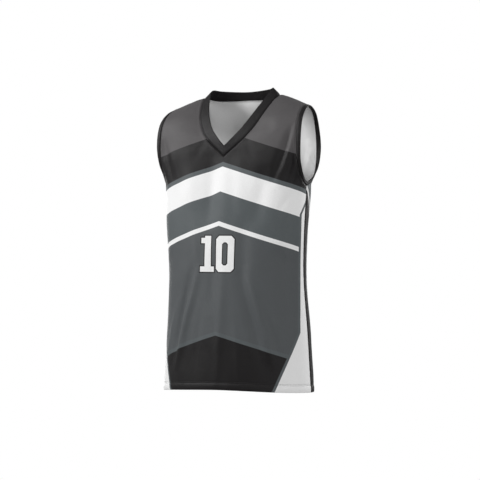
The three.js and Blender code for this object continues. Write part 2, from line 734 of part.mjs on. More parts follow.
const panelKnit = new THREE.MeshStandardMaterial({ color: 0x5c6164, roughness: 0.6, metalness: 0 });
const bandKnit = new THREE.MeshStandardMaterial({ color: 0x343233, roughness: 0.7, metalness: 0 });

function piece(name, geometry, material) {
  const mesh = new THREE.Mesh(geometry, material);
  mesh.name = name;
  return mesh;
}

const jersey = new THREE.Group();
jersey.add(piece('front_panel', panelGeometry('front'), panelKnit));
jersey.add(piece('back_panel', panelGeometry('back'), panelKnit));
jersey.add(piece('neckband', neckbandGeometry(), bandKnit));
jersey.add(piece('armband_left', armbandGeometry('left'), bandKnit));
jersey.add(piece('armband_right', armbandGeometry('right'), bandKnit));

export default jersey;
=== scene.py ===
# Sleeveless V-neck basketball jersey, hollow, in the shape it has when it is worn.
# The cloth is worked out in millimetres in the part's own frame and turned into metres last.

import bpy
import numpy as np
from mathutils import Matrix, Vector, kdtree, noise
from mathutils.bvhtree import BVHTree


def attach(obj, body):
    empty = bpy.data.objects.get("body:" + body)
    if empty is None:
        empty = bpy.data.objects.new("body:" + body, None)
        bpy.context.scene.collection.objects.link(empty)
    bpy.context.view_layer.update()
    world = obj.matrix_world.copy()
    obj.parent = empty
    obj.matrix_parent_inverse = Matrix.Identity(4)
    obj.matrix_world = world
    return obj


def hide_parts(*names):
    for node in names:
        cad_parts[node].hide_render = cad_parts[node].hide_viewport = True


MM = 0.001

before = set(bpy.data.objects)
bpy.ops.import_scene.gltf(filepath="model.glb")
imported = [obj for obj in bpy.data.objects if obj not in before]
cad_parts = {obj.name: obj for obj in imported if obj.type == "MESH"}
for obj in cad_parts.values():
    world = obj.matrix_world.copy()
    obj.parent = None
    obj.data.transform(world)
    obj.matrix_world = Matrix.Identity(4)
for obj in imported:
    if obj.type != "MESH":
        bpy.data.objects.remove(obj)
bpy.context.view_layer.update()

# Cloth and sewing, as in the solids, which have wider gaps at their seams
WALL = 1.8
HEM_WALL = 2.8
HEM_DEPTH = 20
HEM_Z = -712
SEAM_GAP = 0.1

# Heights of the level rows below the armholes, counted up from the hem edge: closest round the folded
# edge and the stitching of the hem, and even above them
STITCH_HEIGHTS = (16.5, 19.7)
HEM_HEIGHTS = [
    0, 0.3, 0.7, 1.3, 2.2, 4, 6, 8, 10, 12, 14, 15.5, 16.5, 17.3, 18.1, 18.9, 19.7, 20.5, 21.5, 23, 25
]
EVEN_FROM = 28
EVEN_ROWS = 151
ARMPIT_HEIGHT = 499
LEVEL_HEIGHTS = np.concatenate([HEM_HEIGHTS, np.linspace(EVEN_FROM, ARMPIT_HEIGHT, EVEN_ROWS)])
ARMPIT_ROW = len(LEVEL_HEIGHTS) - 1
ARMPIT_Z = HEM_Z + ARMPIT_HEIGHT

# Steps in which the other stretches are cut, with finer ones beside the seams
COLUMN_STEPS = 80
CHEST_STEPS = 24
NECK_STEPS = 54
BLADE_STEPS = 48
YOKE_STEPS = 30
SEAM_SHARES = (0.003, 0.0075)
SEAM_ROW_SHARES = (0.005, 0.011)

# Share of half the back's width at which its neck seam ends, and the height where it curves over
NECK_SHARE = 0.55
YOKE_Z = -60

# Bezier reaches: a quarter of an ellipse, and a nearly straight row that ends at an armhole
ROUND_REACH = 0.55
FLAT_REACH = 0.37


def table(columns, *rows):
    """Rows of a table, each with its place in the table and the names of its columns."""
    return [dict(zip(columns.split(), row), place=place) for place, row in enumerate(rows)]


def place_of(rows, name):
    return next(row["place"] for row in rows if row["name"] == name)


# Side seam: height, distance from the middle, and how far back it lies
SIDE_SEAM = table(
    "z x y",
    (-712, 201, -23),
    (-567, 192, -23),
    (-430, 184, -28),
    (-322, 187.5, -32),
    (-213, 192.5, -28),
)

# Centre line of the front up to the point of the V, with the roundness of the corner beside it
FRONT_CENTRE = table(
    "z y full",
    (-712, -135, 1.0),
    (-567, -129, 1.02),
    (-430, -123, 1.06),
    (-322, -116, 1.16),
    (-213, -105, 1.3),
    (-141, -91, 1.3),
)

# Centre line of the back up to the neck seam
BACK_CENTRE = table(
    "z y full",
    (-712, 88, 1.0),
    (-567, 84, 1.0),
    (-430, 76, 1.0),
    (-322, 78, 1.04),
    (-260, 85, 1.08),
    (-213, 86, 1.1),
    (-127, 72, 1.1),
    (-60, 53, 1.1),
    (1, 36, 1.1),
)

# Left armhole, once round from the armpit by the front: the seam on the panels, the free edge of the
# band, and how far a row has turned towards the other panel where it ends there, in degrees
ARMHOLE = table(
    "name x y z lip_x lip_y lip_z turn",
    ("armpit", 192.5, -28, -213, 191.5, -27, -202, 90),
    ("front_low", 190, -67, -173, 196, -64, -165, 50),
    ("front_mid", 189.3, -77.5, -115, 200, -75, -115, 17),
    ("front_high", 188.5, -68, -60, 199, -66, -64, 11),
    ("front_top", 185.5, -44, -31, 195.5, -43, -36, 8),
    ("shoulder_tip", 181, -8, -17.5, 191, -8, -22, 0),
    ("back_top", 185, 12, -31, 195, 10, -36, 8),
    ("back_high", 186.5, 24.5, -60, 197, 22, -64, 11),
    ("back_mid", 187.5, 33.5, -127, 198.5, 31, -125, 17),
    ("back_low", 190, 18, -185, 196, 14, -176, 45),
    ("armpit", 192.5, -28, -213, 191.5, -27, -202, 90),
)
SHOULDER_TIP = place_of(ARMHOLE, "shoulder_tip")
BACK_HIGH = place_of(ARMHOLE, "back_high")
ONCE_ROUND = len(ARMHOLE) - 1

# Left half of the neck, from the point of the V round to the centre of the back: the seam on the
# panels and the free edge of the band. On the front, aim is how far forward a row heads where it
# starts there, in degrees, and drop is the power of the way along it that its height falls by.
NECK = table(
    "name x y z lip_x lip_y lip_z aim drop",
    ("v_point", 0, -91, -141, 0, -90, -115, 0, 1.8),
    ("v_low", 28, -88, -118, 13, -87.5, -103, 3, 1.5),
    ("v_mid", 56.5, -81.5, -92, 38.7, -77.5, -75, 8, 1.3),
    ("v_high", 73, -70.5, -69, 51, -68, -56.5, 12, 1.2),
    ("collarbone", 87, -55, -40, 64.5, -51, -30, 18, 1.2),
    ("neck_side", 100, -22, -3, 78.5, -24, 3, 18, 1.25),
    ("shoulder", 104, 0, 9, 84, 0, 26, 6, 1.25),
    ("neck_back", 85, 22, 4, 68, 14, 24.5),
    ("back_centre", 0, 36, 1, 0, 27, 21),
)
NECK_SHOULDER = place_of(NECK, "shoulder")
NECK_BACK = place_of(NECK, "back_centre")
FRONT_NECK = NECK[:NECK_SHOULDER + 1]

# Place on the armhole that the row through the point of the V runs to
V_ROW_PLACE = 1.4

# Ways in which the columns of the back's left half arrive at the neck
ARRIVAL_AT_CENTRE = np.array([0, -0.35, 0.94])
ARRIVAL_AT_NECK_END = np.array([-0.44, -0.62, -0.02])

# How far the hem edge rises above its nominal height, by the share of the half width, left positive
HEM_LIFT = {
    "front": table("share lift", (-1, -2), (-0.45, 8), (0, 13.5), (0.35, 13), (0.65, 10.5), (1, 8)),
    "back": table("share lift", (-1, -2), (0, 3), (1, 8)),
}
HEM_LIFT_FADE = 255

# Folds: their two ends as distance across and height, half their width, how far they stand out or,
# where that is negative, lie in, and how far their middle bows sideways, where it does
FOLD_COLUMNS = "start end half_width out bend"

# Largest folds, nearly as in the solids
FOLDS = {
    "front": table(
        FOLD_COLUMNS,
        ((175, -80), (130, -218), 9, -3.2),
        ((200, -94), (164, -214), 8, -2.6),
        ((-180, -92), (-146, -208), 12, -3),
        ((128, -34), (140, -90), 16, 0.9),
        ((-104, -120), (-90, -330), 20, 2.5),
        ((-31, -128), (-27, -320), 22, -2.5),
        ((4, -150), (22, -330), 20, 2),
        ((119, -160), (92, -320), 20, -3),
        ((-74, -270), (-62, -460), 18, 2),
        ((62, -280), (68, -480), 20, -3),
        ((-52, -400), (-130, -660), 13, 4.5),
        ((-70, -400), (-150, -660), 12, -4),
        ((70, -400), (150, -650), 13, 4.5),
        ((56, -410), (132, -670), 14, -4),
        ((18, -370), (3, -712), 12, 1.5),
        ((-12, -360), (-16, -520), 14, -1.5),
    ),
    "back": table(
        FOLD_COLUMNS,
        ((160, -98), (196, -168), 9, -3.5),
        ((176, -120), (136, -240), 13, -4),
        ((-180, -96), (-138, -222), 12, -4.5),
        ((92, -170), (72, -440), 22, 3),
        ((2, -120), (-8, -430), 26, -4),
        ((-98, -160), (-78, -420), 20, 3),
        ((156, -320), (84, -420), 13, -3),
        ((-152, -344), (-90, -428), 12, -3),
        ((-54, -430), (-122, -700), 16, 4.5),
        ((-82, -440), (-152, -690), 14, -4),
        ((50, -440), (104, -712), 18, 4),
        ((76, -430), (138, -690), 15, -4),
        ((-6, -460), (8, -712), 20, 3),
    ),
}

# How much deeper these folds are made than in the table
FOLD_GAIN = 1.6

# Smaller creases between and beside them
CREASES = {
    "front": table(
        FOLD_COLUMNS,
        ((-31, -120), (-28, -330), 20, -2.4, 2),
        ((44, -130), (52, -320), 17, 2.0, -3),
        ((-78, -130), (-74, -300), 16, 1.8, 3),
        ((178, -62), (150, -184), 6, -3.4, -2),
        ((206, -90), (182, -180), 8, -1.4, -4),
        ((186, -72), (158, -202), 8, 1.0, -2),
        ((206, -150), (176, -246), 7, -1.6, -5),
        ((190, -226), (150, -286), 8, -1.2, 6),
        ((-196, -140), (-170, -236), 7, -1.5, 5),
        ((-170, -66), (-152, -130), 7, -1.0, -3),
        ((-206, -220), (-160, -292), 9, -1.3, -6),
        ((60, -96), (88, -150), 9, -0.9, 5),
        ((-58, -92), (-84, -146), 9, -0.8, -5),
        ((-112, -470), (-178, -640), 8, 1.4, 6),
        ((112, -480), (180, -640), 8, 1.5, -7),
        ((-30, -470), (-62, -690), 10, -1.2, 8),
        ((40, -500), (62, -700), 9, 1.2, -6),
        ((190, -420), (214, -560), 9, -1.4, 6),
        ((-196, -400), (-216, -560), 9, -1.2, -6),
        ((150, -330), (196, -392), 10, 1.0, 8),
        ((-150, -340), (-198, -398), 10, 1.0, -8),
    ),
    "back": table(
        FOLD_COLUMNS,
        ((186, -100), (150, -196), 6, 1.4, 4),
        ((-190, -110), (-158, -206), 7, 1.5, -4),
        ((204, -200), (160, -276), 8, -1.5, 6),
        ((-204, -196), (-162, -280), 8, -1.4, -6),
        ((60, -30), (52, -110), 14, 1.0, 6),
        ((-64, -34), (-50, -116), 14, 1.0, -6),
        ((186, -352), (120, -436), 9, 1.6, -7),
        ((-190, -372), (-118, -446), 9, 1.4, 7),
        ((120, -470), (186, -640), 9, 1.5, -8),
        ((-110, -480), (-186, -660), 9, 1.5, 8),
        ((24, -480), (52, -690), 10, -1.4, 6),
        ((-34, -500), (-60, -712), 10, -1.3, -6),
    ),
}

# Folds die away over these distances from the side seams and armholes and from the neck, and over
# this many rows up to the shoulder
SIDE_FADE = 12
NECK_FADE = 12
SHOULDER_FADE_ROWS = 15

# Rows and columns next to the armpit over which the cloth is eased, how often, the share of the rows
# over which that dies away, and the columns beside the neck over which it does
EASE_ROWS = 30
EASE_COLUMNS = 20
EASE_PASSES = 140
EASE_FADE = 0.3
EASE_NECK_COLUMNS = 8

# Unevenness of the cloth: size of the swellings and how far they stand out. A seed tells one pattern
# from another.
SWELLINGS = [dict(size=85, out=1.1, seed=0), dict(size=34, out=0.35, seed=1)]

# Groove along a seam, the ridge beside it over the seam allowance, and the puckers
SEAM_GROOVE = dict(depth=1.5, width=1.9)
SEAM_RIDGE = dict(height=0.35, middle=5, width=2.6)
PUCKER = dict(size=11, out=0.55, reach=13, start=2.5, seed=0.25)

# Hem: roundness of its folded edge, the puff between edge and stitching, the sunk stitching, ripples
HEM_EDGE_RADIUS = 1.3
HEM_PUFF = 1.0
STITCH_GROOVE = dict(depth=0.35, width=1.0)
HEM_RIPPLE = dict(size=23, out=0.9, reach=26, seed=0.5)

# Section of a folded band: shares of the way across, half its thickness, where it has all of it, and
# where its edge rounds off
BAND_SHARES = np.array([
    0, 0.025, 0.06, 0.11, 0.2, 0.35, 0.5, 0.65, 0.78, 0.88, 0.94, 0.965, 0.985, 0.996, 1
])
BAND_HALF = 1.25
BAND_FULL_SHARE = 0.2
BAND_EDGE_SHARE = 0.93
BAND_PUCKER = dict(size=11, out=0.33, seed=0.75)
MITRE_GROOVE = dict(depth=0.7, width=1.1)

# Stitches: length, gap, radius, share of their section left at their ends, and how far their middles
# stand out and their ends sink in
STITCH = dict(length=2.6, gap=0.7, radius=0.26, end_share=0.25, out=0.22, sink=0.22)
STITCH_RINGS = 6
STITCH_SIDES = 6

# Distance from the seams of the bands to the row of stitches beside them
SEAM_STITCH = 3.6

# Part of a place over which the way along the shoulder and the way along a seam are measured
SHOULDER_STEP = 0.02
SEAM_STEP = 0.01

# Maps for baking, as shares of a square: margin, size of a panel's outer sheet, where the inner one
# starts, and the strip between them for the edge. The way round a band's section ends past 2.
MAP_MARGIN = 0.01
MAP_HEIGHT = 0.98
SHEET_WIDTH = 0.46
INNER_START = 0.5
EDGE_STRIP = (0.477, 0.5)
BAND_TURN = 2.05

SIDES = {"left": 1, "right": -1}
OTHER_SIDE = {"left": "right", "right": "left"}
MIRROR = np.array([-1, 1, 1])
CURVE_SAMPLES = 240


def unit(vectors):
    return vectors / np.linalg.norm(vectors, axis=-1, keepdims=True)


def dot(first, second):
    return np.sum(first * second, axis=-1, keepdims=True)


def smoothstep(value, low, high):
    share = np.clip((value - low) / (high - low), 0, 1)
    return share * share * (3 - 2 * share)


def bell(value, width):
    return np.exp(-((value / width) ** 2))


def hermite(start, start_slope, end, end_slope, share):
    squared = share * share
    cubed = squared * share
    return (
        start * (2 * cubed - 3 * squared + 1)
        + start_slope * (cubed - 2 * squared + share)
        + end * (3 * squared - 2 * cubed)
        + end_slope * (cubed - squared)
    )


def column_of(rows, name):
    return np.array([row[name] for row in rows], float)


def smooth_value(rows, key, name, wanted):
    """Value of a table's column where its key column has a given value, on a smooth curve."""
    keys = column_of(rows, key)
    values = column_of(rows, name)
    last = len(rows) - 1
    before = np.maximum(np.arange(last + 1) - 1, 0)
    after = np.minimum(np.arange(last + 1) + 1, last)
    slopes = (values[after] - values[before]) / (keys[after] - keys[before])
    at = np.clip(np.searchsorted(keys, wanted) - 1, 0, last - 1)
    span = keys[at + 1] - keys[at]
    share = (wanted - keys[at]) / span
    return hermite(values[at], slopes[at] * span, values[at + 1], slopes[at + 1] * span, share)


def spaced_shares(steps, first=(), last=()):
    """Shares from 0 to 1 in equal steps, with more of them just after 0 and just before 1."""
    extra = [*first, *(1 - share for share in last)]
    return np.unique(np.concatenate([np.linspace(0, 1, steps + 1), extra]))


COLUMN_SHARES = spaced_shares(COLUMN_STEPS, SEAM_SHARES, SEAM_SHARES)
CHEST_SHARES = spaced_shares(CHEST_STEPS)
NECK_SHARES = spaced_shares(NECK_STEPS, SEAM_ROW_SHARES, SEAM_ROW_SHARES)
BLADE_SHARES = spaced_shares(BLADE_STEPS)
YOKE_SHARES = spaced_shares(YOKE_STEPS, last=SEAM_ROW_SHARES)
NECK_COLUMN = int(np.flatnonzero(np.isclose(COLUMN_SHARES, NECK_SHARE))[0])


def catmull_rom(controls, closed, places):
    """Points at numbered places on a centripetal Catmull-Rom curve through its control points."""
    places = np.asarray(places, float)
    start = np.floor(places).astype(int)
    if closed:
        corners = [controls[(start + step) % len(controls)] for step in (-1, 0, 1, 2)]
    else:
        start = np.clip(start, 0, len(controls) - 2)
        before = 2 * controls[0] - controls[1]
        after = 2 * controls[-1] - controls[-2]
        extended = np.vstack([before, controls, after])
        corners = [extended[start + step] for step in range(4)]
    gaps = [
        np.sqrt(np.linalg.norm(after - before, axis=-1, keepdims=True))
        for before, after in zip(corners, corners[1:])
    ]
    first, second, third, fourth = corners
    before, gap, after = gaps
    leave = (second - first) / before - (third - first) / (before + gap) + (third - second) / gap
    arrive = (third - second) / gap - (fourth - second) / (gap + after) + (fourth - third) / after
    return hermite(second, leave * gap, third, arrive * gap, (places - start)[..., None])


def corner_points(rows, prefix):
    return np.stack([column_of(rows, prefix + axis) for axis in "xyz"], axis=1)


def loop_controls(opening, prefix):
    if opening == "armhole":
        return corner_points(ARMHOLE[:-1], prefix)
    half = corner_points(NECK, prefix)
    return np.vstack([half, half[-2::-1] * MIRROR])


# Loops of the seams and the free edges. The neck loops run from the V round the neck back to the V.
LOOPS = {
    (opening, edge): loop_controls(opening, prefix)
    for opening in ("armhole", "neck")
    for edge, prefix in (("seam", ""), ("lip", "lip_"))
}


def point_on(opening, edge, places):
    return catmull_rom(LOOPS[opening, edge], opening == "armhole", places)


def on_armhole(places):
    return point_on("armhole", "seam", places)


def on_neck(places):
    return point_on("neck", "seam", places)


def lengths_along(points):
    steps = np.linalg.norm(np.diff(points, axis=0), axis=1)
    return np.concatenate([[0], np.cumsum(steps)])


def places_at(point_at, start, end, shares):
    """Places that cut a stretch of a seam at given shares of its length."""
    places = np.linspace(start, end, CURVE_SAMPLES + 1)
    lengths = lengths_along(point_at(places))
    return np.interp(shares * lengths[-1], lengths, places)


def bezier(corners, share):
    first, second, third, fourth = corners
    share = share[:, None]
    rest = 1 - share
    return (
        first * rest ** 3
        + 3 * second * rest ** 2 * share
        + 3 * third * rest * share ** 2
        + fourth * share ** 3
    )


def row_points(row, towards, shares):
    """Points of a row of a panel's left half, and their distances across from the centre line.
    towards is the way along Y to the other panel."""
    turn = np.radians(row["turn"])
    aim = np.radians(row["aim"])
    start, end = row["start"], row["end"]
    width = end[0] - start[0]
    depth = abs(end[1] - start[1])
    round_reach = ROUND_REACH * row["full"]
    start_reach = width * (FLAT_REACH + (round_reach - FLAT_REACH) * np.sin(turn))
    end_reach = FLAT_REACH * width * np.cos(turn) ** 2 + round_reach * depth * np.sin(turn)
    corners = [
        start[:2],
        start[:2] + start_reach * np.array([np.cos(aim), -np.sin(aim)]),
        end[:2] - end_reach * np.array([np.cos(turn), towards * np.sin(turn)]),
        end[:2],
    ]
    samples = np.linspace(0, 1, CURVE_SAMPLES + 1)
    lengths = lengths_along(bezier(corners, samples))
    flat = bezier(corners, np.interp(shares * lengths[-1], lengths, samples))
    height = start[2] + (end[2] - start[2]) * shares ** row["drop"]
    return np.column_stack([flat, height]), start[0] + shares * lengths[-1]


def level_row(centre, z):
    """Level row from the centre line to the side seam."""
    return dict(
        start=np.array([0, smooth_value(centre, "z", "y", z), z]),
        end=np.array([smooth_value(SIDE_SEAM, "z", "x", z), smooth_value(SIDE_SEAM, "z", "y", z), z]),
        full=smooth_value(centre, "z", "full", z),
        turn=ARMHOLE[0]["turn"],
        aim=0,
        drop=NECK[0]["drop"],
    )


def centre_row(centre, z, place):
    """Row from the centre line to a place on the armhole."""
    turn = smooth_value(ARMHOLE, "place", "turn", place)
    return dict(level_row(centre, z), end=on_armhole(place), turn=turn)


def neck_row(neck_place, armhole_place):
    """Row from a place on the neck to a place on the armhole."""
    return dict(
        start=on_neck(neck_place),
        end=on_armhole(armhole_place),
        full=1,
        turn=smooth_value(ARMHOLE, "place", "turn", armhole_place),
        aim=smooth_value(FRONT_NECK, "place", "aim", neck_place),
        drop=smooth_value(FRONT_NECK, "place", "drop", neck_place),
    )


def grid_of(rows, towards):
    made = [row_points(row, towards, COLUMN_SHARES) for row in rows]
    return np.array([points for points, _ in made]), np.array([across for _, across in made])


def eased(points, across, first_neck_row):
    """Rows, with their distances across, drawn towards their neighbours round the armpit, but not at
    the side or beside the neck, so that no crease runs across the panel from the armhole's corner."""
    rows = slice(ARMPIT_ROW - EASE_ROWS, ARMPIT_ROW + EASE_ROWS + 1)
    near = np.abs(np.arange(-EASE_ROWS, EASE_ROWS + 1)) / (EASE_ROWS + 1)
    inward = smoothstep((1 - COLUMN_SHARES) * COLUMN_STEPS, 0, EASE_COLUMNS)
    weight = smoothstep(1 - near, 0, EASE_FADE)[:, None] * inward / 2
    from_neck = smoothstep(COLUMN_SHARES * COLUMN_STEPS, 0, EASE_NECK_COLUMNS)
    weight[np.arange(rows.start, rows.stop) >= first_neck_row] *= from_neck
    both = np.concatenate([points, across[..., None]], axis=-1)
    for _ in range(EASE_PASSES):
        below = both[rows.start - 1:rows.stop - 1]
        above = both[rows.start + 1:rows.stop + 1]
        here = both[rows]
        to_below = np.linalg.norm((here - below)[..., :3], axis=-1, keepdims=True)
        to_above = np.linalg.norm((here - above)[..., :3], axis=-1, keepdims=True)
        between = below + (above - below) * to_below / (to_below + to_above)
        both[rows] = here + (between - here) * weight[..., None]
    return both[..., :3], both[..., 3]


SHOULDER_ROW = neck_row(NECK_SHOULDER, SHOULDER_TIP)


def shoulder_ways(shares):
    """Ways along the left shoulder seam and over it from front to back."""
    step = SHOULDER_STEP
    ahead, _ = row_points(SHOULDER_ROW, 1, np.minimum(shares + step, 1))
    behind, _ = row_points(SHOULDER_ROW, 1, np.maximum(shares - step, 0))
    over_neck = unit(on_neck(NECK_SHOULDER + step) - on_neck(NECK_SHOULDER - step))
    over_tip = unit(on_armhole(SHOULDER_TIP + step) - on_armhole(SHOULDER_TIP - step))
    return unit(ahead - behind), unit(over_neck + (over_tip - over_neck) * shares[:, None])


def rows_from_centre(centre, heights, places):
    """Rows that start on the centre line: level ones, then those that end on the armhole."""
    rows = [level_row(centre, HEM_Z + height) for height in LEVEL_HEIGHTS]
    return rows + [centre_row(centre, z, place) for z, place in zip(heights[1:], places[1:])]


def front_half():
    """Left half of the front: rows from the hem to the shoulder seam, those above the V from the
    neck out."""
    chest_places = places_at(on_armhole, 0, V_ROW_PLACE, CHEST_SHARES)
    upper_places = places_at(on_armhole, V_ROW_PLACE, SHOULDER_TIP, NECK_SHARES)
    neck_places = places_at(on_neck, 0, NECK_SHOULDER, NECK_SHARES)
    chest_heights = ARMPIT_Z + (NECK[0]["z"] - ARMPIT_Z) * CHEST_SHARES
    rows = rows_from_centre(FRONT_CENTRE, chest_heights, chest_places)
    rows += [neck_row(*places) for places in zip(neck_places[1:], upper_places[1:])]
    points, across = grid_of(rows, 1)
    joined_row = ARMPIT_ROW + len(CHEST_SHARES) - 1
    points, across = eased(points, across, joined_row)
    neck_rows = joined_row + np.arange(len(neck_places))
    return dict(
        points=points,
        across=across,
        joined_row=joined_row,
        shoulder_column=0,
        armhole_places=np.concatenate([chest_places, upper_places[1:]]),
        neck_edge=(neck_places, neck_rows, np.zeros(len(neck_rows), int)),
    )


def arrival_ways():
    """Ways in which the columns of the back's left half arrive at their upper ends."""
    to_neck_end = np.minimum(COLUMN_SHARES / NECK_SHARE, 1)[:, None]
    to_tip = np.maximum((COLUMN_SHARES - NECK_SHARE) / (1 - NECK_SHARE), 0)[:, None]
    _, over = shoulder_ways(np.ones(1))
    ways = ARRIVAL_AT_CENTRE + (ARRIVAL_AT_NECK_END - ARRIVAL_AT_CENTRE) * to_neck_end
    return unit(ways + (-over - ARRIVAL_AT_NECK_END) * to_tip)


def back_half():
    """Left half of the back: level rows, then columns that curve over to the neck and the shoulder
    seam."""
    blade_places = places_at(on_armhole, ONCE_ROUND, BACK_HIGH, BLADE_SHARES)
    yoke_places = places_at(on_armhole, BACK_HIGH, SHOULDER_TIP, YOKE_SHARES)
    neck_shares = COLUMN_SHARES[:NECK_COLUMN + 1] / NECK_SHARE
    neck_places = places_at(on_neck, NECK_BACK, NECK_SHOULDER, neck_shares)
    blade_heights = ARMPIT_Z + (YOKE_Z - ARMPIT_Z) * BLADE_SHARES
    points, across = grid_of(rows_from_centre(BACK_CENTRE, blade_heights, blade_places), -1)
    points, across = eased(points, across, len(points))
    low = points[-1]
    neck_points = on_neck(neck_places)
    shoulder_shares = (COLUMN_SHARES[NECK_COLUMN + 1:] - NECK_SHARE) / (1 - NECK_SHARE)
    shoulder_points, shoulder_across = row_points(SHOULDER_ROW, 1, shoulder_shares)
    high = np.vstack([neck_points, shoulder_points])
    high_across = np.concatenate([neck_points[:, 0], shoulder_across])
    reach = np.linalg.norm(high - low, axis=1, keepdims=True)
    leave = unit(low - points[-2]) * reach
    arrive = arrival_ways() * reach
    outward = COLUMN_SHARES[:, None]
    yoke = []
    for share, place in zip(YOKE_SHARES[1:-1], yoke_places[1:-1]):
        curved = hermite(low, leave, high, arrive, share)
        centre_shift = smooth_value(BACK_CENTRE, "z", "y", curved[0, 2]) - curved[0, 1]
        edge_shift = on_armhole(place) - curved[-1]
        curved = curved + edge_shift * outward ** 2
        curved[:, 1] += centre_shift * (1 - COLUMN_SHARES) ** 2
        yoke.append(curved)
    yoke_across = across[-1] + (high_across - across[-1]) * YOKE_SHARES[1:, None]
    points = np.vstack([points, np.array([*yoke, high])])
    top_row = len(points) - 1
    neck_columns = np.arange(NECK_COLUMN + 1)
    return dict(
        points=points,
        across=np.vstack([across, yoke_across]),
        joined_row=top_row,
        shoulder_column=NECK_COLUMN,
        armhole_places=np.concatenate([blade_places, yoke_places[1:]]),
        neck_edge=(neck_places, np.full(len(neck_columns), top_row), neck_columns),
    )


PANELS = {
    "front": dict(front_half(), towards=1),
    "back": dict(back_half(), towards=-1),
}


def row_heights(panel):
    """Heights of a panel's level rows above the hem, and a height past all hem details for the rest."""
    rows = len(PANELS[panel]["points"])
    heights = np.full(rows, float(ARMPIT_HEIGHT))
    heights[:len(LEVEL_HEIGHTS)] = LEVEL_HEIGHTS
    return heights


def smooth_skin(panel):
    """Both halves of a panel without its folds: points[side][row, column]."""
    fade = 1 - smoothstep(row_heights(panel), HEM_DEPTH, HEM_LIFT_FADE)
    skin = {}
    for side, sign in SIDES.items():
        points = PANELS[panel]["points"] * np.array([sign, 1, 1])
        lift = smooth_value(HEM_LIFT[panel], "share", "lift", sign * COLUMN_SHARES)
        points[..., 2] += fade[:, None] * lift
        skin[side] = points
    return skin


def ways_at(skin, panel, side):
    """Ways across, up and out of the cloth at all points of half a panel. On a seam both panels give
    the same ones."""
    facts = PANELS[panel]
    sign, towards = SIDES[side], facts["towards"]
    joined_row, shoulder_column = facts["joined_row"], facts["shoulder_column"]
    here = skin[side]
    inner = np.concatenate([here[:, :1], here[:, :-1]], axis=1)
    inner[:joined_row + 1, 0] = skin[OTHER_SIDE[side]][:joined_row + 1, 1]
    outer = np.concatenate([here[:, 1:], here[:, -1:]], axis=1)
    lower = np.concatenate([here[:1], here[:-1]])
    higher = np.concatenate([here[1:], here[-1:]])
    if panel == "front":
        higher[joined_row, 0] = here[joined_row, 0]
    across = outer - inner
    up = higher - lower
    across[:ARMPIT_ROW + 1, -1] = (0, towards, 0)
    seam_shares = COLUMN_SHARES[shoulder_column:] - COLUMN_SHARES[shoulder_column]
    along, over = shoulder_ways(seam_shares / seam_shares[-1])
    flip = np.array([sign, 1, 1])
    across[-1, shoulder_column:] = along * flip
    up[-1, shoulder_column:] = over * flip * towards
    across = unit(across)
    up = unit(up)
    out = unit(np.cross(across, up)) * sign * towards
    return across, up, out


def fold_lift(folds, across, height):
    """How far a list of folds lifts the cloth at places given by distance across and height."""
    lift = np.zeros_like(height)
    for fold in folds:
        run = np.subtract(fold["end"], fold["start"])
        length = np.hypot(*run)
        way = run / length
        ahead = across - fold["start"][0]
        above = height - fold["start"][1]
        inside = np.clip((ahead * way[0] + above * way[1]) / length, 0, 1)
        bow = 4 * fold.get("bend", 0) * inside * (1 - inside)
        aside = ahead * way[1] - above * way[0] - bow
        lift += fold["out"] * bell(aside, fold["half_width"]) * np.sin(np.pi * inside)
    return lift


def unevenness(points, pattern):
    """How far a smooth uneven pattern stands out at places in space."""
    scaled = points.reshape(-1, 3) / pattern["size"] + pattern["seed"]
    values = [noise.noise(Vector(place)) for place in scaled]
    return pattern["out"] * np.array(values).reshape(points.shape[:-1])


def folded_skin(skin, panel):
    """Skin with its folds, creases and swellings, which die away towards the seams."""
    facts = PANELS[panel]
    rows = np.arange(len(facts["points"]))
    folded = {}
    for side, sign in SIDES.items():
        _, _, out = ways_at(skin, panel, side)
        across = sign * facts["across"]
        from_side, from_start = [np.abs(across - across[:, column, None]) for column in (-1, 0)]
        from_neck = np.where(rows[:, None] < facts["joined_row"], NECK_FADE, from_start)
        fade = (
            smoothstep(from_side, 0, SIDE_FADE)
            * smoothstep(from_neck, 0, NECK_FADE)
            * smoothstep(rows[-1] - rows, 0, SHOULDER_FADE_ROWS)[:, None]
        )
        height = skin[side][..., 2]
        lift = FOLD_GAIN * fold_lift(FOLDS[panel], across, height)
        lift += fold_lift(CREASES[panel], across, height)
        for swelling in SWELLINGS:
            lift += unevenness(skin[side], swelling)
        folded[side] = skin[side] + out * (fade * lift)[..., None]
    return folded


SKIN = {panel: folded_skin(smooth_skin(panel), panel) for panel in PANELS}
WAYS = {
    (panel, side): ways_at(SKIN[panel], panel, side)
    for panel in PANELS
    for side in SIDES
}


def seam_distances(panel, side):
    """Distance of every point of half a panel from the nearest seam."""
    facts = PANELS[panel]
    points = SKIN[panel][side]
    _, neck_rows, neck_columns = facts["neck_edge"]
    seams = np.vstack([
        points[:, -1],
        points[-1, facts["shoulder_column"]:],
        points[neck_rows, neck_columns],
    ])
    tree = kdtree.KDTree(len(seams))
    for number, place in enumerate(seams):
        tree.insert(place, number)
    tree.balance()
    flat = points.reshape(-1, 3)
    return np.array([tree.find(place)[2] for place in flat]).reshape(points.shape[:-1])


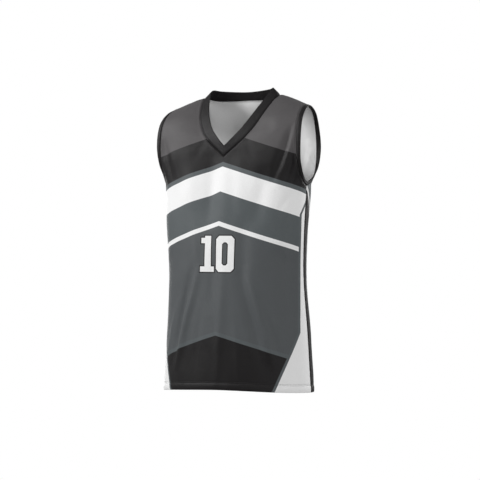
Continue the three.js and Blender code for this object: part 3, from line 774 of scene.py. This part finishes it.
def hem_relief(across, heights):
    """How far the double hem stands out, with its round edge and its sunk stitching."""
    from_edge = np.clip(HEM_EDGE_RADIUS - heights, 0, HEM_EDGE_RADIUS)
    edge = HEM_EDGE_RADIUS - np.sqrt(HEM_EDGE_RADIUS ** 2 - from_edge ** 2)
    middle = STITCH_HEIGHTS[0] / 2
    puff = HEM_PUFF * np.clip(1 - (heights / middle - 1) ** 2, 0, 1)
    groove = sum(bell(heights - at, STITCH_GROOVE["width"]) for at in STITCH_HEIGHTS)
    along = across[..., None] * np.array([1, 0, 0])
    ripple = unevenness(along, HEM_RIPPLE) * bell(heights, HEM_RIPPLE["reach"])[:, None]
    return (puff - edge - STITCH_GROOVE["depth"] * groove)[:, None] + ripple


def seam_relief(points, distance):
    """How far the cloth beside a seam stands out: its groove, ridge and puckers."""
    groove = SEAM_GROOVE["depth"] * bell(distance, SEAM_GROOVE["width"])
    ridge = SEAM_RIDGE["height"] * bell(distance - SEAM_RIDGE["middle"], SEAM_RIDGE["width"])
    envelope = np.exp(-distance / PUCKER["reach"]) * smoothstep(distance, 0, PUCKER["start"])
    return ridge - groove + unevenness(points, PUCKER) * envelope


def edge_of_band(opening, panel, side):
    """Edge of a panel where a band is sewn on, as rows of arrays from the armpit, the V or the back's
    centre upwards: the seam, the ways out of the cloth and of the band's own face, the free edge, and
    the way off the panel."""
    facts = PANELS[panel]
    if opening == "neck":
        places, rows, columns = facts["neck_edge"]
    else:
        places = facts["armhole_places"]
        rows = ARMPIT_ROW + np.arange(len(places))
        columns = np.full(len(places), -1)
    flip = np.array([SIDES[side], 1, 1])
    seam = SKIN[panel][side][rows, columns]
    out = WAYS[panel, side][2][rows, columns]
    ahead = point_on(opening, "seam", places + SEAM_STEP)
    behind = point_on(opening, "seam", np.maximum(places - SEAM_STEP, 0))
    along = (ahead - behind) * flip
    lip = point_on(opening, "lip", places) * flip
    off = unit(np.cross(along, out))
    off *= np.sign(dot(off, lip - seam))
    face = unit(np.cross(along, lip - seam))
    face *= np.sign(dot(face, out))
    if opening == "neck" and panel == "front":
        # At the V the two halves meet in the middle, so the way off is longer, to leave the same gap
        off[0, 0] = 0
        off[0] /= off[0] @ off[0]
        face[0, 0] = 0
        face[0] = unit(face[0])
    return dict(seam=seam, out=out, lip=lip, off=off, face=face)


def edge_trims(panel, side):
    """How far a panel's edges are drawn back from its seams."""
    facts = PANELS[panel]
    across, up, _ = WAYS[panel, side]
    back = -SEAM_GAP / 2
    trim = np.zeros_like(across)
    trim[:ARMPIT_ROW + 1, -1] += across[:ARMPIT_ROW + 1, -1] * back
    trim[-1, facts["shoulder_column"]:] += up[-1, facts["shoulder_column"]:] * back
    armhole_rows = ARMPIT_ROW + np.arange(len(facts["armhole_places"]))
    trim[armhole_rows, -1] += edge_of_band("armhole", panel, side)["off"] * back
    _, neck_rows, neck_columns = facts["neck_edge"]
    trim[neck_rows, neck_columns] += edge_of_band("neck", panel, side)["off"] * back
    return trim


def new_piece(name, points, faces, materials):
    mesh = bpy.data.meshes.new(name)
    mesh.from_pydata((np.asarray(points) * MM).tolist(), [], [list(face) for face in faces])
    mesh.validate()
    piece = bpy.data.objects.new(name, mesh)
    bpy.context.scene.collection.objects.link(piece)
    for material in materials:
        mesh.materials.append(material)
    mesh.shade_smooth()
    return piece


def set_map(piece, name, corners):
    """Gives a piece a map with one place for each corner of its faces."""
    layer = piece.data.uv_layers.new(name=name)
    layer.data.foreach_set("uv", np.asarray(corners, np.float32).ravel())


def grid_quads(grid):
    """What stands at the four corners of each cell of a grid, in order round the cell."""
    cells = np.stack([grid[:-1, :-1], grid[:-1, 1:], grid[1:, 1:], grid[1:, :-1]], axis=2)
    return cells.reshape(-1, 4, *grid.shape[2:])


def signed_volume(points, faces):
    """Six times the volume inside faces of four corners, negative where they face inwards."""
    first, second, third, fourth = np.moveaxis(points[faces], 1, 0)
    return np.sum(first * (np.cross(second, third) + np.cross(third, fourth)))


def rim_faces(faces, behind):
    """Faces that join the open edges of a sheet of faces to the same edges behind it."""
    edges = dict.fromkeys(
        (start, end) for face in faces.tolist() for start, end in zip(face, face[1:] + face[:1])
    )
    open_edges = [(start, end) for start, end in edges if (end, start) not in edges]
    return np.array([(end, start, start + behind, end + behind) for start, end in open_edges])


def panel_piece(panel, materials):
    """Front or back: a thin shell. Its materials are the print, the knit's reverse and its edge."""
    facts = PANELS[panel]
    rows, columns = facts["across"].shape
    heights = row_heights(panel)
    thickness = np.where(heights < HEM_DEPTH, HEM_WALL, WALL)
    thickness = (thickness - HEM_WALL / 2 * bell(heights, HEM_EDGE_RADIUS))[:, None, None]
    tops = lengths_along(facts["points"][:, columns // 2])
    outer, inner, cut, share_map = [], [], [], []
    for side, sign in SIDES.items():
        across = sign * facts["across"]
        out = WAYS[panel, side][2]
        points = SKIN[panel][side] + edge_trims(panel, side)
        relief = seam_relief(points, seam_distances(panel, side)) + hem_relief(across, heights)
        outer.append(points + out * relief[..., None])
        inner.append(outer[-1] - out * thickness)
        cut.append(np.stack([across, facts["points"][..., 2] - HEM_Z], axis=-1))
        shares = np.broadcast_arrays((1 + sign * COLUMN_SHARES) / 2, (tops / tops[-1])[:, None])
        share_map.append(np.stack(shares, axis=-1))
    count = 2 * rows * columns
    numbers = np.arange(count).reshape(2, rows, columns)
    joined = facts["joined_row"] + 1
    numbers[1, :joined, 0] = numbers[0, :joined, 0]
    faces = [grid_quads(half) for half in numbers]
    turned = int(facts["towards"] > 0)
    faces[turned] = faces[turned][:, ::-1]
    faces = np.vstack(faces)
    rim = rim_faces(faces, count)
    every_face = np.vstack([faces, faces[:, ::-1] + count, rim])
    points = np.concatenate(outer + inner).reshape(-1, 3)
    used = np.unique(every_face)
    renumber = np.full(2 * count, -1)
    renumber[used] = np.arange(len(used))
    piece = new_piece(f"{panel}_cloth", points[used], renumber[every_face], materials)
    source = used[renumber[every_face].ravel()]
    cut = np.concatenate(cut).reshape(-1, 2)[source % count] * MM
    set_map(piece, "cut", cut)
    share_map = np.concatenate(share_map).reshape(-1, 2)
    bake = MAP_MARGIN + share_map[source % count] * (SHEET_WIDTH, MAP_HEIGHT)
    bake[source >= count, 0] += INNER_START
    strip = np.linspace(MAP_MARGIN, 1 - MAP_MARGIN, len(rim) + 1)
    bake[2 * faces.size:] = np.stack([
        np.tile(np.repeat(EDGE_STRIP, 2), len(rim)),
        np.stack([strip[:-1], strip[1:], strip[1:], strip[:-1]], axis=1).ravel(),
    ], axis=1)
    set_map(piece, "OFBake", bake)
    material_of = np.repeat([0, 1, 2], [len(faces), len(faces), len(rim)])
    low = cut[:, 1].reshape(-1, 4).max(axis=1) < HEM_DEPTH * MM
    material_of[low] = 0
    piece.data.polygons.foreach_set("material_index", material_of)
    return piece


def band_points(edges):
    """Rings round a folded band: outer face from the seam to the free edge, then back inside."""
    corner = edges["seam"] + edges["off"] * SEAM_GAP / 2
    middle = corner - edges["out"] * WALL / 2
    shares = BAND_SHARES[None, :, None]
    spine = middle[:, None] + (edges["lip"] - middle)[:, None] * shares
    thick = unit(edges["out"][:, None] * (1 - shares) + edges["face"][:, None] * shares)
    width = np.linalg.norm(edges["lip"] - middle, axis=1)[:, None] * BAND_SHARES
    past = np.clip((BAND_SHARES - BAND_EDGE_SHARE) / (1 - BAND_EDGE_SHARE), 0, 1)
    half = BAND_HALF * np.sqrt(1 - past ** 2)
    start = smoothstep(BAND_SHARES, 0, BAND_FULL_SHARE)
    half = WALL / 2 + (half - WALL / 2) * start
    groove = SEAM_GROOVE["depth"] * bell(width, SEAM_GROOVE["width"])
    pucker = unevenness(spine, BAND_PUCKER) * smoothstep(width, 0, PUCKER["start"]) * (1 - past)
    is_front = spine[..., 1] < FRONT_NECK[2]["y"]
    mitre = MITRE_GROOVE["depth"] * bell(spine[..., 0], MITRE_GROOVE["width"])
    mitre = mitre * is_front * (start * (1 - past))
    outside = spine + thick * (half - groove - mitre + pucker)[..., None]
    inside = spine - thick * (half - mitre - pucker)[..., None]
    return np.concatenate([outside, inside[:, ::-1]], axis=1)


def joined_edges(parts):
    return {name: np.vstack([part[name] for part in parts]) for name in parts[0]}


def cut_edge(edges, first, last, turn=1):
    """Rows of an edge from first up to last, and from their other end where turn is -1."""
    return {name: values[first:last][::turn] for name, values in edges.items()}


def ring_piece(name, edges, material):
    """Closed ring of a band, through sections that follow each other round an opening."""
    rings = band_points(edges)
    stations, corners = rings.shape[:2]
    numbers = np.arange(stations * corners).reshape(stations, corners)
    quads = grid_quads(np.pad(numbers, (0, 1), mode="wrap").T)
    along = lengths_along(np.vstack([edges["seam"], edges["seam"][:1]]))
    around = np.concatenate([BAND_SHARES, 2 - BAND_SHARES[::-1], [BAND_TURN]])
    places = grid_quads(np.stack(np.meshgrid(along, around), axis=-1))
    points = rings.reshape(-1, 3)
    if signed_volume(points, quads) < 0:
        quads, places = quads[:, ::-1], places[:, ::-1]
    piece = new_piece(name, points, quads, [material])
    width = np.linalg.norm(edges["lip"] - edges["seam"], axis=1).mean()
    set_map(piece, "cut", places * (1, width) * MM)
    set_map(piece, "OFBake", MAP_MARGIN + MAP_HEIGHT * places / (along[-1], BAND_TURN))
    return piece


def opening_edges(opening, side, back_start):
    """Edge of one side of an opening: up along the front, then down along the back to a given row."""
    front, back = [edge_of_band(opening, panel, side) for panel in PANELS]
    return joined_edges([front, cut_edge(back, back_start, -1, -1)])


def stitch_points(path, ways):
    """Rings of all the stitches along a path: stitch, ring, corner."""
    pitch = STITCH["length"] + STITCH["gap"]
    lengths = lengths_along(path)
    starts = np.arange(STITCH["gap"], lengths[-1] - STITCH["length"], pitch)
    shares = np.linspace(0, 1, STITCH_RINGS)
    places = starts[:, None] + shares * STITCH["length"]
    columns = np.hstack([path, ways]).T
    sampled = np.stack([np.interp(places, lengths, column) for column in columns], axis=-1)
    points, out = sampled[..., :3], unit(sampled[..., 3:])
    bow = np.sin(np.pi * shares)[:, None]
    points = points + out * (STITCH["out"] * bow - STITCH["sink"] * (1 - bow))
    forward = unit(points[:, -1] - points[:, 0])[:, None]
    aside = unit(np.cross(forward, out))
    angles = np.arange(STITCH_SIDES) * 2 * np.pi / STITCH_SIDES
    full = STITCH["end_share"] + (1 - STITCH["end_share"]) * np.clip(bow, 0, 1)
    radius = STITCH["radius"] * np.sqrt(full)[..., None]
    circle = (
        aside[:, :, None] * np.cos(angles)[:, None]
        + out[:, :, None] * np.sin(angles)[:, None]
    )
    return points[:, :, None] + circle * radius


def stitch_piece(name, paths, material):
    """Rows of stitches as one piece."""
    rings = np.concatenate([stitch_points(path, ways) for path, ways in paths])
    block = STITCH_RINGS * STITCH_SIDES
    numbers = np.arange(block).reshape(STITCH_RINGS, STITCH_SIDES)
    wall = grid_quads(np.hstack([numbers, numbers[:, :1]]))
    faces = [
        face + start
        for start in range(0, len(rings) * block, block)
        for face in (*wall, numbers[0, ::-1], numbers[-1])
    ]
    return new_piece(name, rings.reshape(-1, 3), faces, [material])


def hem_paths(panel):
    """Paths of the two rows of hem stitching on a panel, from its right seam to its left one."""
    heights = row_heights(panel)
    halves = {}
    for side, sign in SIDES.items():
        across = sign * PANELS[panel]["across"]
        from_side = np.abs(across[:, -1:] - across)
        relief = hem_relief(across, heights) + seam_relief(SKIN[panel][side], from_side)
        out = WAYS[panel, side][2]
        halves[side] = np.stack([SKIN[panel][side] + out * relief[..., None], out])
    paths = []
    for wanted in STITCH_HEIGHTS:
        row = int(np.argmin(np.abs(heights - wanted)))
        paths.append(np.hstack([halves["right"][:, row, ::-1], halves["left"][:, row, 1:]]))
    return paths


def seam_paths(panel, cloth):
    """Paths of the stitching on a panel beside the seams of its three bands."""
    tree = BVHTree.FromPolygons(
        [vertex.co / MM for vertex in cloth.data.vertices],
        [face.vertices[:] for face in cloth.data.polygons],
    )
    neck = {side: edge_of_band("neck", panel, side) for side in SIDES}
    edges = [joined_edges([cut_edge(neck["right"], 1, -1, -1), cut_edge(neck["left"], 0, -1)])]
    edges += [cut_edge(edge_of_band("armhole", panel, side), 1, -1) for side in SIDES]
    paths = []
    for edge in edges:
        wanted = edge["seam"] - edge["off"] * SEAM_STITCH + edge["out"] * WALL / 2
        path = np.array([tree.find_nearest(place)[0] for place in wanted])
        paths.append((path, edge["out"]))
    return paths


class Graph:
    """Short ways to add nodes to a material."""

    def __init__(self, name):
        self.material = bpy.data.materials.new(name)
        self.material.use_nodes = True
        self.nodes = self.material.node_tree.nodes
        self.links = self.material.node_tree.links
        self.shader = self.nodes["Principled BSDF"]

    def put(self, value, socket):
        if isinstance(value, bpy.types.NodeSocket):
            self.links.new(value, socket)
        else:
            socket.default_value = value

    def give(self, name, value):
        """Sets an input of the shader, or joins it to a socket."""
        self.put(value, self.shader.inputs[name])

    def math(self, operation, *values, clamp=False):
        node = self.nodes.new("ShaderNodeMath")
        node.operation = operation
        node.use_clamp = clamp
        for value, socket in zip(values, node.inputs):
            self.put(value, socket)
        return node.outputs[0]

    def distance(self, value, middle):
        return self.math("ABSOLUTE", self.math("SUBTRACT", value, middle))

    def mix(self, share, first, second, blend="MIX"):
        """Mix of two colours: inputs 6 and 7 and output 2 are the node's ones for colours."""
        node = self.nodes.new("ShaderNodeMix")
        node.data_type = "RGBA"
        node.blend_type = blend
        for value, number in ((share, 0), (first, 6), (second, 7)):
            self.put(value, node.inputs[number])
        return node.outputs[2]

    def cut_place(self):
        """Distance across and height on the cut cloth, in millimetres."""
        node = self.nodes.new("ShaderNodeUVMap")
        node.uv_map = "cut"
        parts = self.nodes.new("ShaderNodeSeparateXYZ")
        self.links.new(node.outputs[0], parts.inputs[0])
        return [self.math("DIVIDE", part, MM) for part in parts.outputs[:2]]

    def over(self, value, limit):
        """1 where a value in millimetres is past a limit, 0 before it, with a soft edge."""
        ahead = self.math("SUBTRACT", value, limit)
        return self.math("MULTIPLY_ADD", ahead, 1 / PRINT_EDGE, 0.5, clamp=True)

    def noise(self, size, detail=2.0):
        place = self.nodes.new("ShaderNodeTexCoord")
        node = self.nodes.new("ShaderNodeTexNoise")
        node.inputs["Scale"].default_value = 1 / (size * MM)
        node.inputs["Detail"].default_value = detail
        self.links.new(place.outputs["Object"], node.inputs["Vector"])
        return node.outputs["Fac"]

    def bump(self, height, distance, below=None):
        node = self.nodes.new("ShaderNodeBump")
        node.inputs["Distance"].default_value = distance * MM
        self.links.new(height, node.inputs["Height"])
        if below is not None:
            self.links.new(below, node.inputs["Normal"])
        return node.outputs[0]


def shade(code):
    """Linear colour of a six-digit display colour."""
    values = [int(code[at:at + 2], 16) / 255 for at in (0, 2, 4)]
    linear = [v / 12.92 if v <= 0.04045 else ((v + 0.055) / 1.055) ** 2.4 for v in values]
    return (*linear, 1)


# Colours of the print and the knit, and the soft edge between colours in millimetres
CHARCOAL = shade("4c4a4b")
BLACK = shade("131112")
STEEL = shade("515658")
WHITE = shade("e3e3e3")
MID_GREY = shade("4d5052")
BAND_BLACK = shade("141213")
REVERSE_WHITE = shade("d8d8d8")
THREAD_GREY = shade("2c2b2c")
PRINT_EDGE = 0.5

# Bands of the print on each panel, from the top. They are chevrons that point up: end is where each
# one ends on the centre line, counted up from the hem edge, and the last one runs over that edge.
CHEVRON_SLOPE = 0.3
CHEVRONS = {
    "front": table(
        "end colour",
        (630, CHARCOAL),
        (557, BLACK),
        (546, STEEL),
        (486, WHITE),
        (415, STEEL),
        (404, WHITE),
        (146, MID_GREY),
        (136, STEEL),
        (-100, BLACK),
    ),
    "back": table(
        "end colour",
        (664, CHARCOAL),
        (614, BLACK),
        (604, STEEL),
        (584, WHITE),
        (326, STEEL),
        (314, WHITE),
        (146, MID_GREY),
        (136, STEEL),
        (-100, BLACK),
    ),
}

# Wedge at the bottom of each side, with an edge in another colour: distance across at the hem, how
# much further out it starts for each millimetre up, where it turns straight up, and the height from
# which it runs out to a point below the armpit
WEDGE = dict(start=150, slope=0.42, widest=212, edge=7, point_from=430, point_slope=0.6)
WEDGE_COLOURS = {
    "front": dict(edge=STEEL, inside=WHITE),
    "back": dict(edge=WHITE, inside=BLACK),
}

# Number on each panel: middle of it across and up, height of its figures, and its dark outline
NUMBERS = {
    "front": dict(across=-4, up=337, height=86, outline=2.6),
    "back": dict(across=0, up=446, height=200, outline=5),
}

# Figures as boxes, in shares of their height: middle, size, how much is cut off their corners, and
# whether a box is cut out of those before it
FIGURE_BOXES = table(
    "x y width height chamfer hole",
    (-0.28, 0, 0.2, 1, 0, False),
    (-0.3, -0.425, 0.44, 0.15, 0, False),
    (-0.42, 0.37, 0.16, 0.15, 0, False),
    (0.27, 0, 0.56, 1, 0.09, False),
    (0.27, 0, 0.18, 0.64, 0.054, True),
)
FAR_AWAY = 1e4


def number_distance(graph, across, up, number):
    """Distance in millimetres from the edge of the printed figures, negative inside them."""
    height = number["height"]
    nearest = FAR_AWAY
    for box in FIGURE_BOXES:
        aside = graph.distance(across, number["across"] + box["x"] * height)
        above = graph.distance(up, number["up"] + box["y"] * height)
        half_width = box["width"] * height / 2
        half_height = box["height"] * height / 2
        past_side = graph.math("SUBTRACT", aside, half_width)
        past_top = graph.math("SUBTRACT", above, half_height)
        distance = graph.math("MAXIMUM", past_side, past_top)
        if box["chamfer"]:
            reach = half_width + half_height - box["chamfer"] * height
            past_corner = graph.math("SUBTRACT", graph.math("ADD", aside, above), reach)
            past_corner = graph.math("DIVIDE", past_corner, np.sqrt(2))
            distance = graph.math("MAXIMUM", distance, past_corner)
        if box["hole"]:
            nearest = graph.math("MAXIMUM", nearest, graph.math("MULTIPLY", distance, -1))
        else:
            nearest = graph.math("MINIMUM", nearest, distance)
    return nearest


# Knit: width of a column of loops, height of a row, relief, the cloth's slight unevenness, the shine,
# and the faint heather
KNIT_COLUMN = 1.15
KNIT_ROW = 0.95
KNIT_RELIEF = 0.05
CLOTH_MOTTLE = 9
MOTTLE_RELIEF = 0.1
CLOTH_SHINE = {
    "Roughness": 0.52,
    "Specular IOR Level": 0.2,
    "Sheen Weight": 0.03,
    "Sheen Roughness": 0.4,
}
HEATHER = dict(size=1.6, detail=1.0, depth=0.07)

# Thread: size of its twist, relief and roughness
THREAD = dict(twist=0.5, detail=1.0, relief=0.08, roughness=0.45)


def knit_relief(graph, across, up):
    """Bump of the fine knit: columns of small loops, and the cloth's slight unevenness."""
    wave = graph.math("SINE", graph.math("MULTIPLY", across, 2 * np.pi / KNIT_COLUMN))
    loop = graph.math("SINE", graph.math("MULTIPLY", up, 2 * np.pi / KNIT_ROW))
    knit = graph.bump(graph.math("MULTIPLY", wave, loop), KNIT_RELIEF)
    return graph.bump(graph.noise(CLOTH_MOTTLE), MOTTLE_RELIEF, knit)


def finish_cloth(graph, colour, across, up):
    """Gives a material its colour with a faint heather, the knit and the sheen of smooth polyester."""
    heather = graph.noise(HEATHER["size"], HEATHER["detail"])
    lighter = graph.math("MULTIPLY_ADD", heather, 2 * HEATHER["depth"], 1 - HEATHER["depth"])
    graph.give("Base Color", graph.mix(1, colour, lighter, "MULTIPLY"))
    graph.give("Normal", knit_relief(graph, across, up))
    for name, value in CLOTH_SHINE.items():
        graph.give(name, value)
    return graph.material


def printed_material(panel):
    graph = Graph(f"{panel}_print")
    across, up = graph.cut_place()
    from_centre = graph.math("ABSOLUTE", across)
    level = graph.math("MULTIPLY_ADD", from_centre, CHEVRON_SLOPE, up)
    bands = CHEVRONS[panel]
    colour = bands[-1]["colour"]
    for band in reversed(bands[:-1]):
        colour = graph.mix(graph.over(level, band["end"]), colour, band["colour"])
    wedge_start = graph.math("MULTIPLY_ADD", up, WEDGE["slope"], WEDGE["start"])
    wedge_start = graph.math("MINIMUM", wedge_start, WEDGE["widest"])
    past_point = graph.math("MAXIMUM", graph.math("SUBTRACT", up, WEDGE["point_from"]), 0)
    wedge_start = graph.math("MULTIPLY_ADD", past_point, WEDGE["point_slope"], wedge_start)
    in_wedge = graph.math("SUBTRACT", from_centre, wedge_start)
    colours = WEDGE_COLOURS[panel]
    colour = graph.mix(graph.over(in_wedge, -WEDGE["edge"]), colour, colours["edge"])
    colour = graph.mix(graph.over(in_wedge, 0), colour, colours["inside"])
    towards_reader = graph.math("MULTIPLY", across, PANELS[panel]["towards"])
    number = NUMBERS[panel]
    inside = graph.math("MULTIPLY", number_distance(graph, towards_reader, up, number), -1)
    colour = graph.mix(graph.over(inside, -number["outline"]), colour, BLACK)
    colour = graph.mix(graph.over(inside, 0), colour, WHITE)
    return finish_cloth(graph, colour, across, up)


def plain_material(name, colour):
    graph = Graph(name)
    return finish_cloth(graph, colour, *graph.cut_place())


def thread_material():
    graph = Graph("sewing_thread")
    twist = graph.noise(THREAD["twist"], THREAD["detail"])
    graph.give("Base Color", graph.mix(twist, THREAD_GREY, BLACK))
    graph.give("Normal", graph.bump(twist, THREAD["relief"]))
    graph.give("Roughness", THREAD["roughness"])
    return graph.material


reverse_knit = plain_material("reverse_knit", REVERSE_WHITE)
band_knit = plain_material("band_knit", BAND_BLACK)
thread = thread_material()


def dress(piece, node=None):
    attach(piece, "root")
    if node:
        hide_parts(node)
    return piece


# Floor, backdrop and camera: sizes and places in metres, the azimuth in degrees, and the lens and the
# sensor in millimetres. The camera looks level, and aims a little beside the jersey's middle.
FLOOR = dict(vertices=96, radius=14, fill_type="NGON", location=(0, 0, -1.1))
DOME = dict(segments=48, ring_count=24, radius=13.5)
CAMERA_AZIMUTH = 30
CAMERA_DISTANCE = 4.28
CAMERA_ASIDE = -0.0066
CAMERA_Z = -0.342
LENS = 131.45
SENSOR_WIDTH = 36


def aimed(data, target, azimuth, elevation, distance):
    """Adds a camera or a lamp that points at a target, from a direction in degrees."""
    azimuth, elevation = np.radians((azimuth, elevation))
    way = Vector((
        np.sin(azimuth) * np.cos(elevation),
        -np.cos(azimuth) * np.cos(elevation),
        np.sin(elevation),
    ))
    piece = bpy.data.objects.new(data.name, data)
    piece.location = target + way * distance
    piece.rotation_euler = (-way).to_track_quat("-Z", "Y").to_euler()
    bpy.context.scene.collection.objects.link(piece)
    return piece


def add_camera():
    data = bpy.data.cameras.new("camera")
    data.lens = LENS
    data.sensor_width = SENSOR_WIDTH
    turn = np.radians(CAMERA_AZIMUTH)
    target = Vector((CAMERA_ASIDE * np.cos(turn), CAMERA_ASIDE * np.sin(turn), CAMERA_Z))
    bpy.context.scene.camera = aimed(data, target, CAMERA_AZIMUTH, 0, CAMERA_DISTANCE)


def make_stage(name):
    """Makes the piece that was just added a plain white one that only the camera sees, and that
    neither gives light to the jersey nor takes light from it."""
    piece = bpy.context.object
    piece.name = name
    graph = Graph(f"{name}_white")
    graph.give("Base Color", (0, 0, 0, 1))
    graph.give("Specular IOR Level", 0)
    graph.give("Emission Color", (1, 1, 1, 1))
    graph.give("Emission Strength", 1)
    piece.data.materials.append(graph.material)
    for kind in ("diffuse", "glossy", "transmission", "volume_scatter", "shadow"):
        setattr(piece, f"visible_{kind}", False)


# Lights: azimuth and elevation in degrees, as seen from the jersey, distance and size in metres, and
# power in watts
LIGHTS = table(
    "name azimuth elevation distance size power",
    ("key", -54, 27, 3.0, 1.1, 82),
    ("top", 12, 62, 3.2, 1.6, 14),
    ("fill_front", 36, -4, 3.8, 1.6, 32),
    ("fill_side", 74, 6, 3.2, 1.6, 25),
    ("back_key", 152, 20, 3.2, 1.4, 60),
    ("back_fill", 226, 4, 3.4, 1.8, 34),
)
WORLD_LIGHT = 0.28


def add_lights():
    for light in LIGHTS:
        data = bpy.data.lights.new(light["name"], "AREA")
        data.shape = "DISK"
        data.size = light["size"]
        data.energy = light["power"]
        way = light["azimuth"], light["elevation"], light["distance"]
        aimed(data, Vector((0, 0, CAMERA_Z)), *way).visible_camera = False
    world = bpy.data.worlds.new("studio")
    world.use_nodes = True
    background = world.node_tree.nodes["Background"]
    background.inputs["Color"].default_value = (1, 1, 1, 1)
    background.inputs["Strength"].default_value = WORLD_LIGHT
    bpy.context.scene.world = world


for panel in PANELS:
    materials = [printed_material(panel), reverse_knit, band_knit]
    cloth = dress(panel_piece(panel, materials), f"{panel}_panel")
    rows = {"hem": hem_paths(panel), "seam": seam_paths(panel, cloth)}
    stitching = [
        dress(stitch_piece(f"{panel}_{name}_stitching", paths, thread))
        for name, paths in rows.items()
    ]

neck_left, neck_right = [opening_edges("neck", side, 0) for side in SIDES]
bands = {"neckband": joined_edges([neck_right, cut_edge(neck_left, 1, -1, -1)])}
for side in SIDES:
    bands[f"armband_{side}"] = opening_edges("armhole", side, 1)
for node, edges in bands.items():
    band = dress(ring_piece(f"{node}_cloth", edges, band_knit), node)

bpy.ops.mesh.primitive_circle_add(**FLOOR)
make_stage("floor")
bpy.ops.mesh.primitive_uv_sphere_add(**DOME)
make_stage("backdrop")
add_lights()
add_camera()
bpy.context.scene.view_settings.view_transform = "Standard"
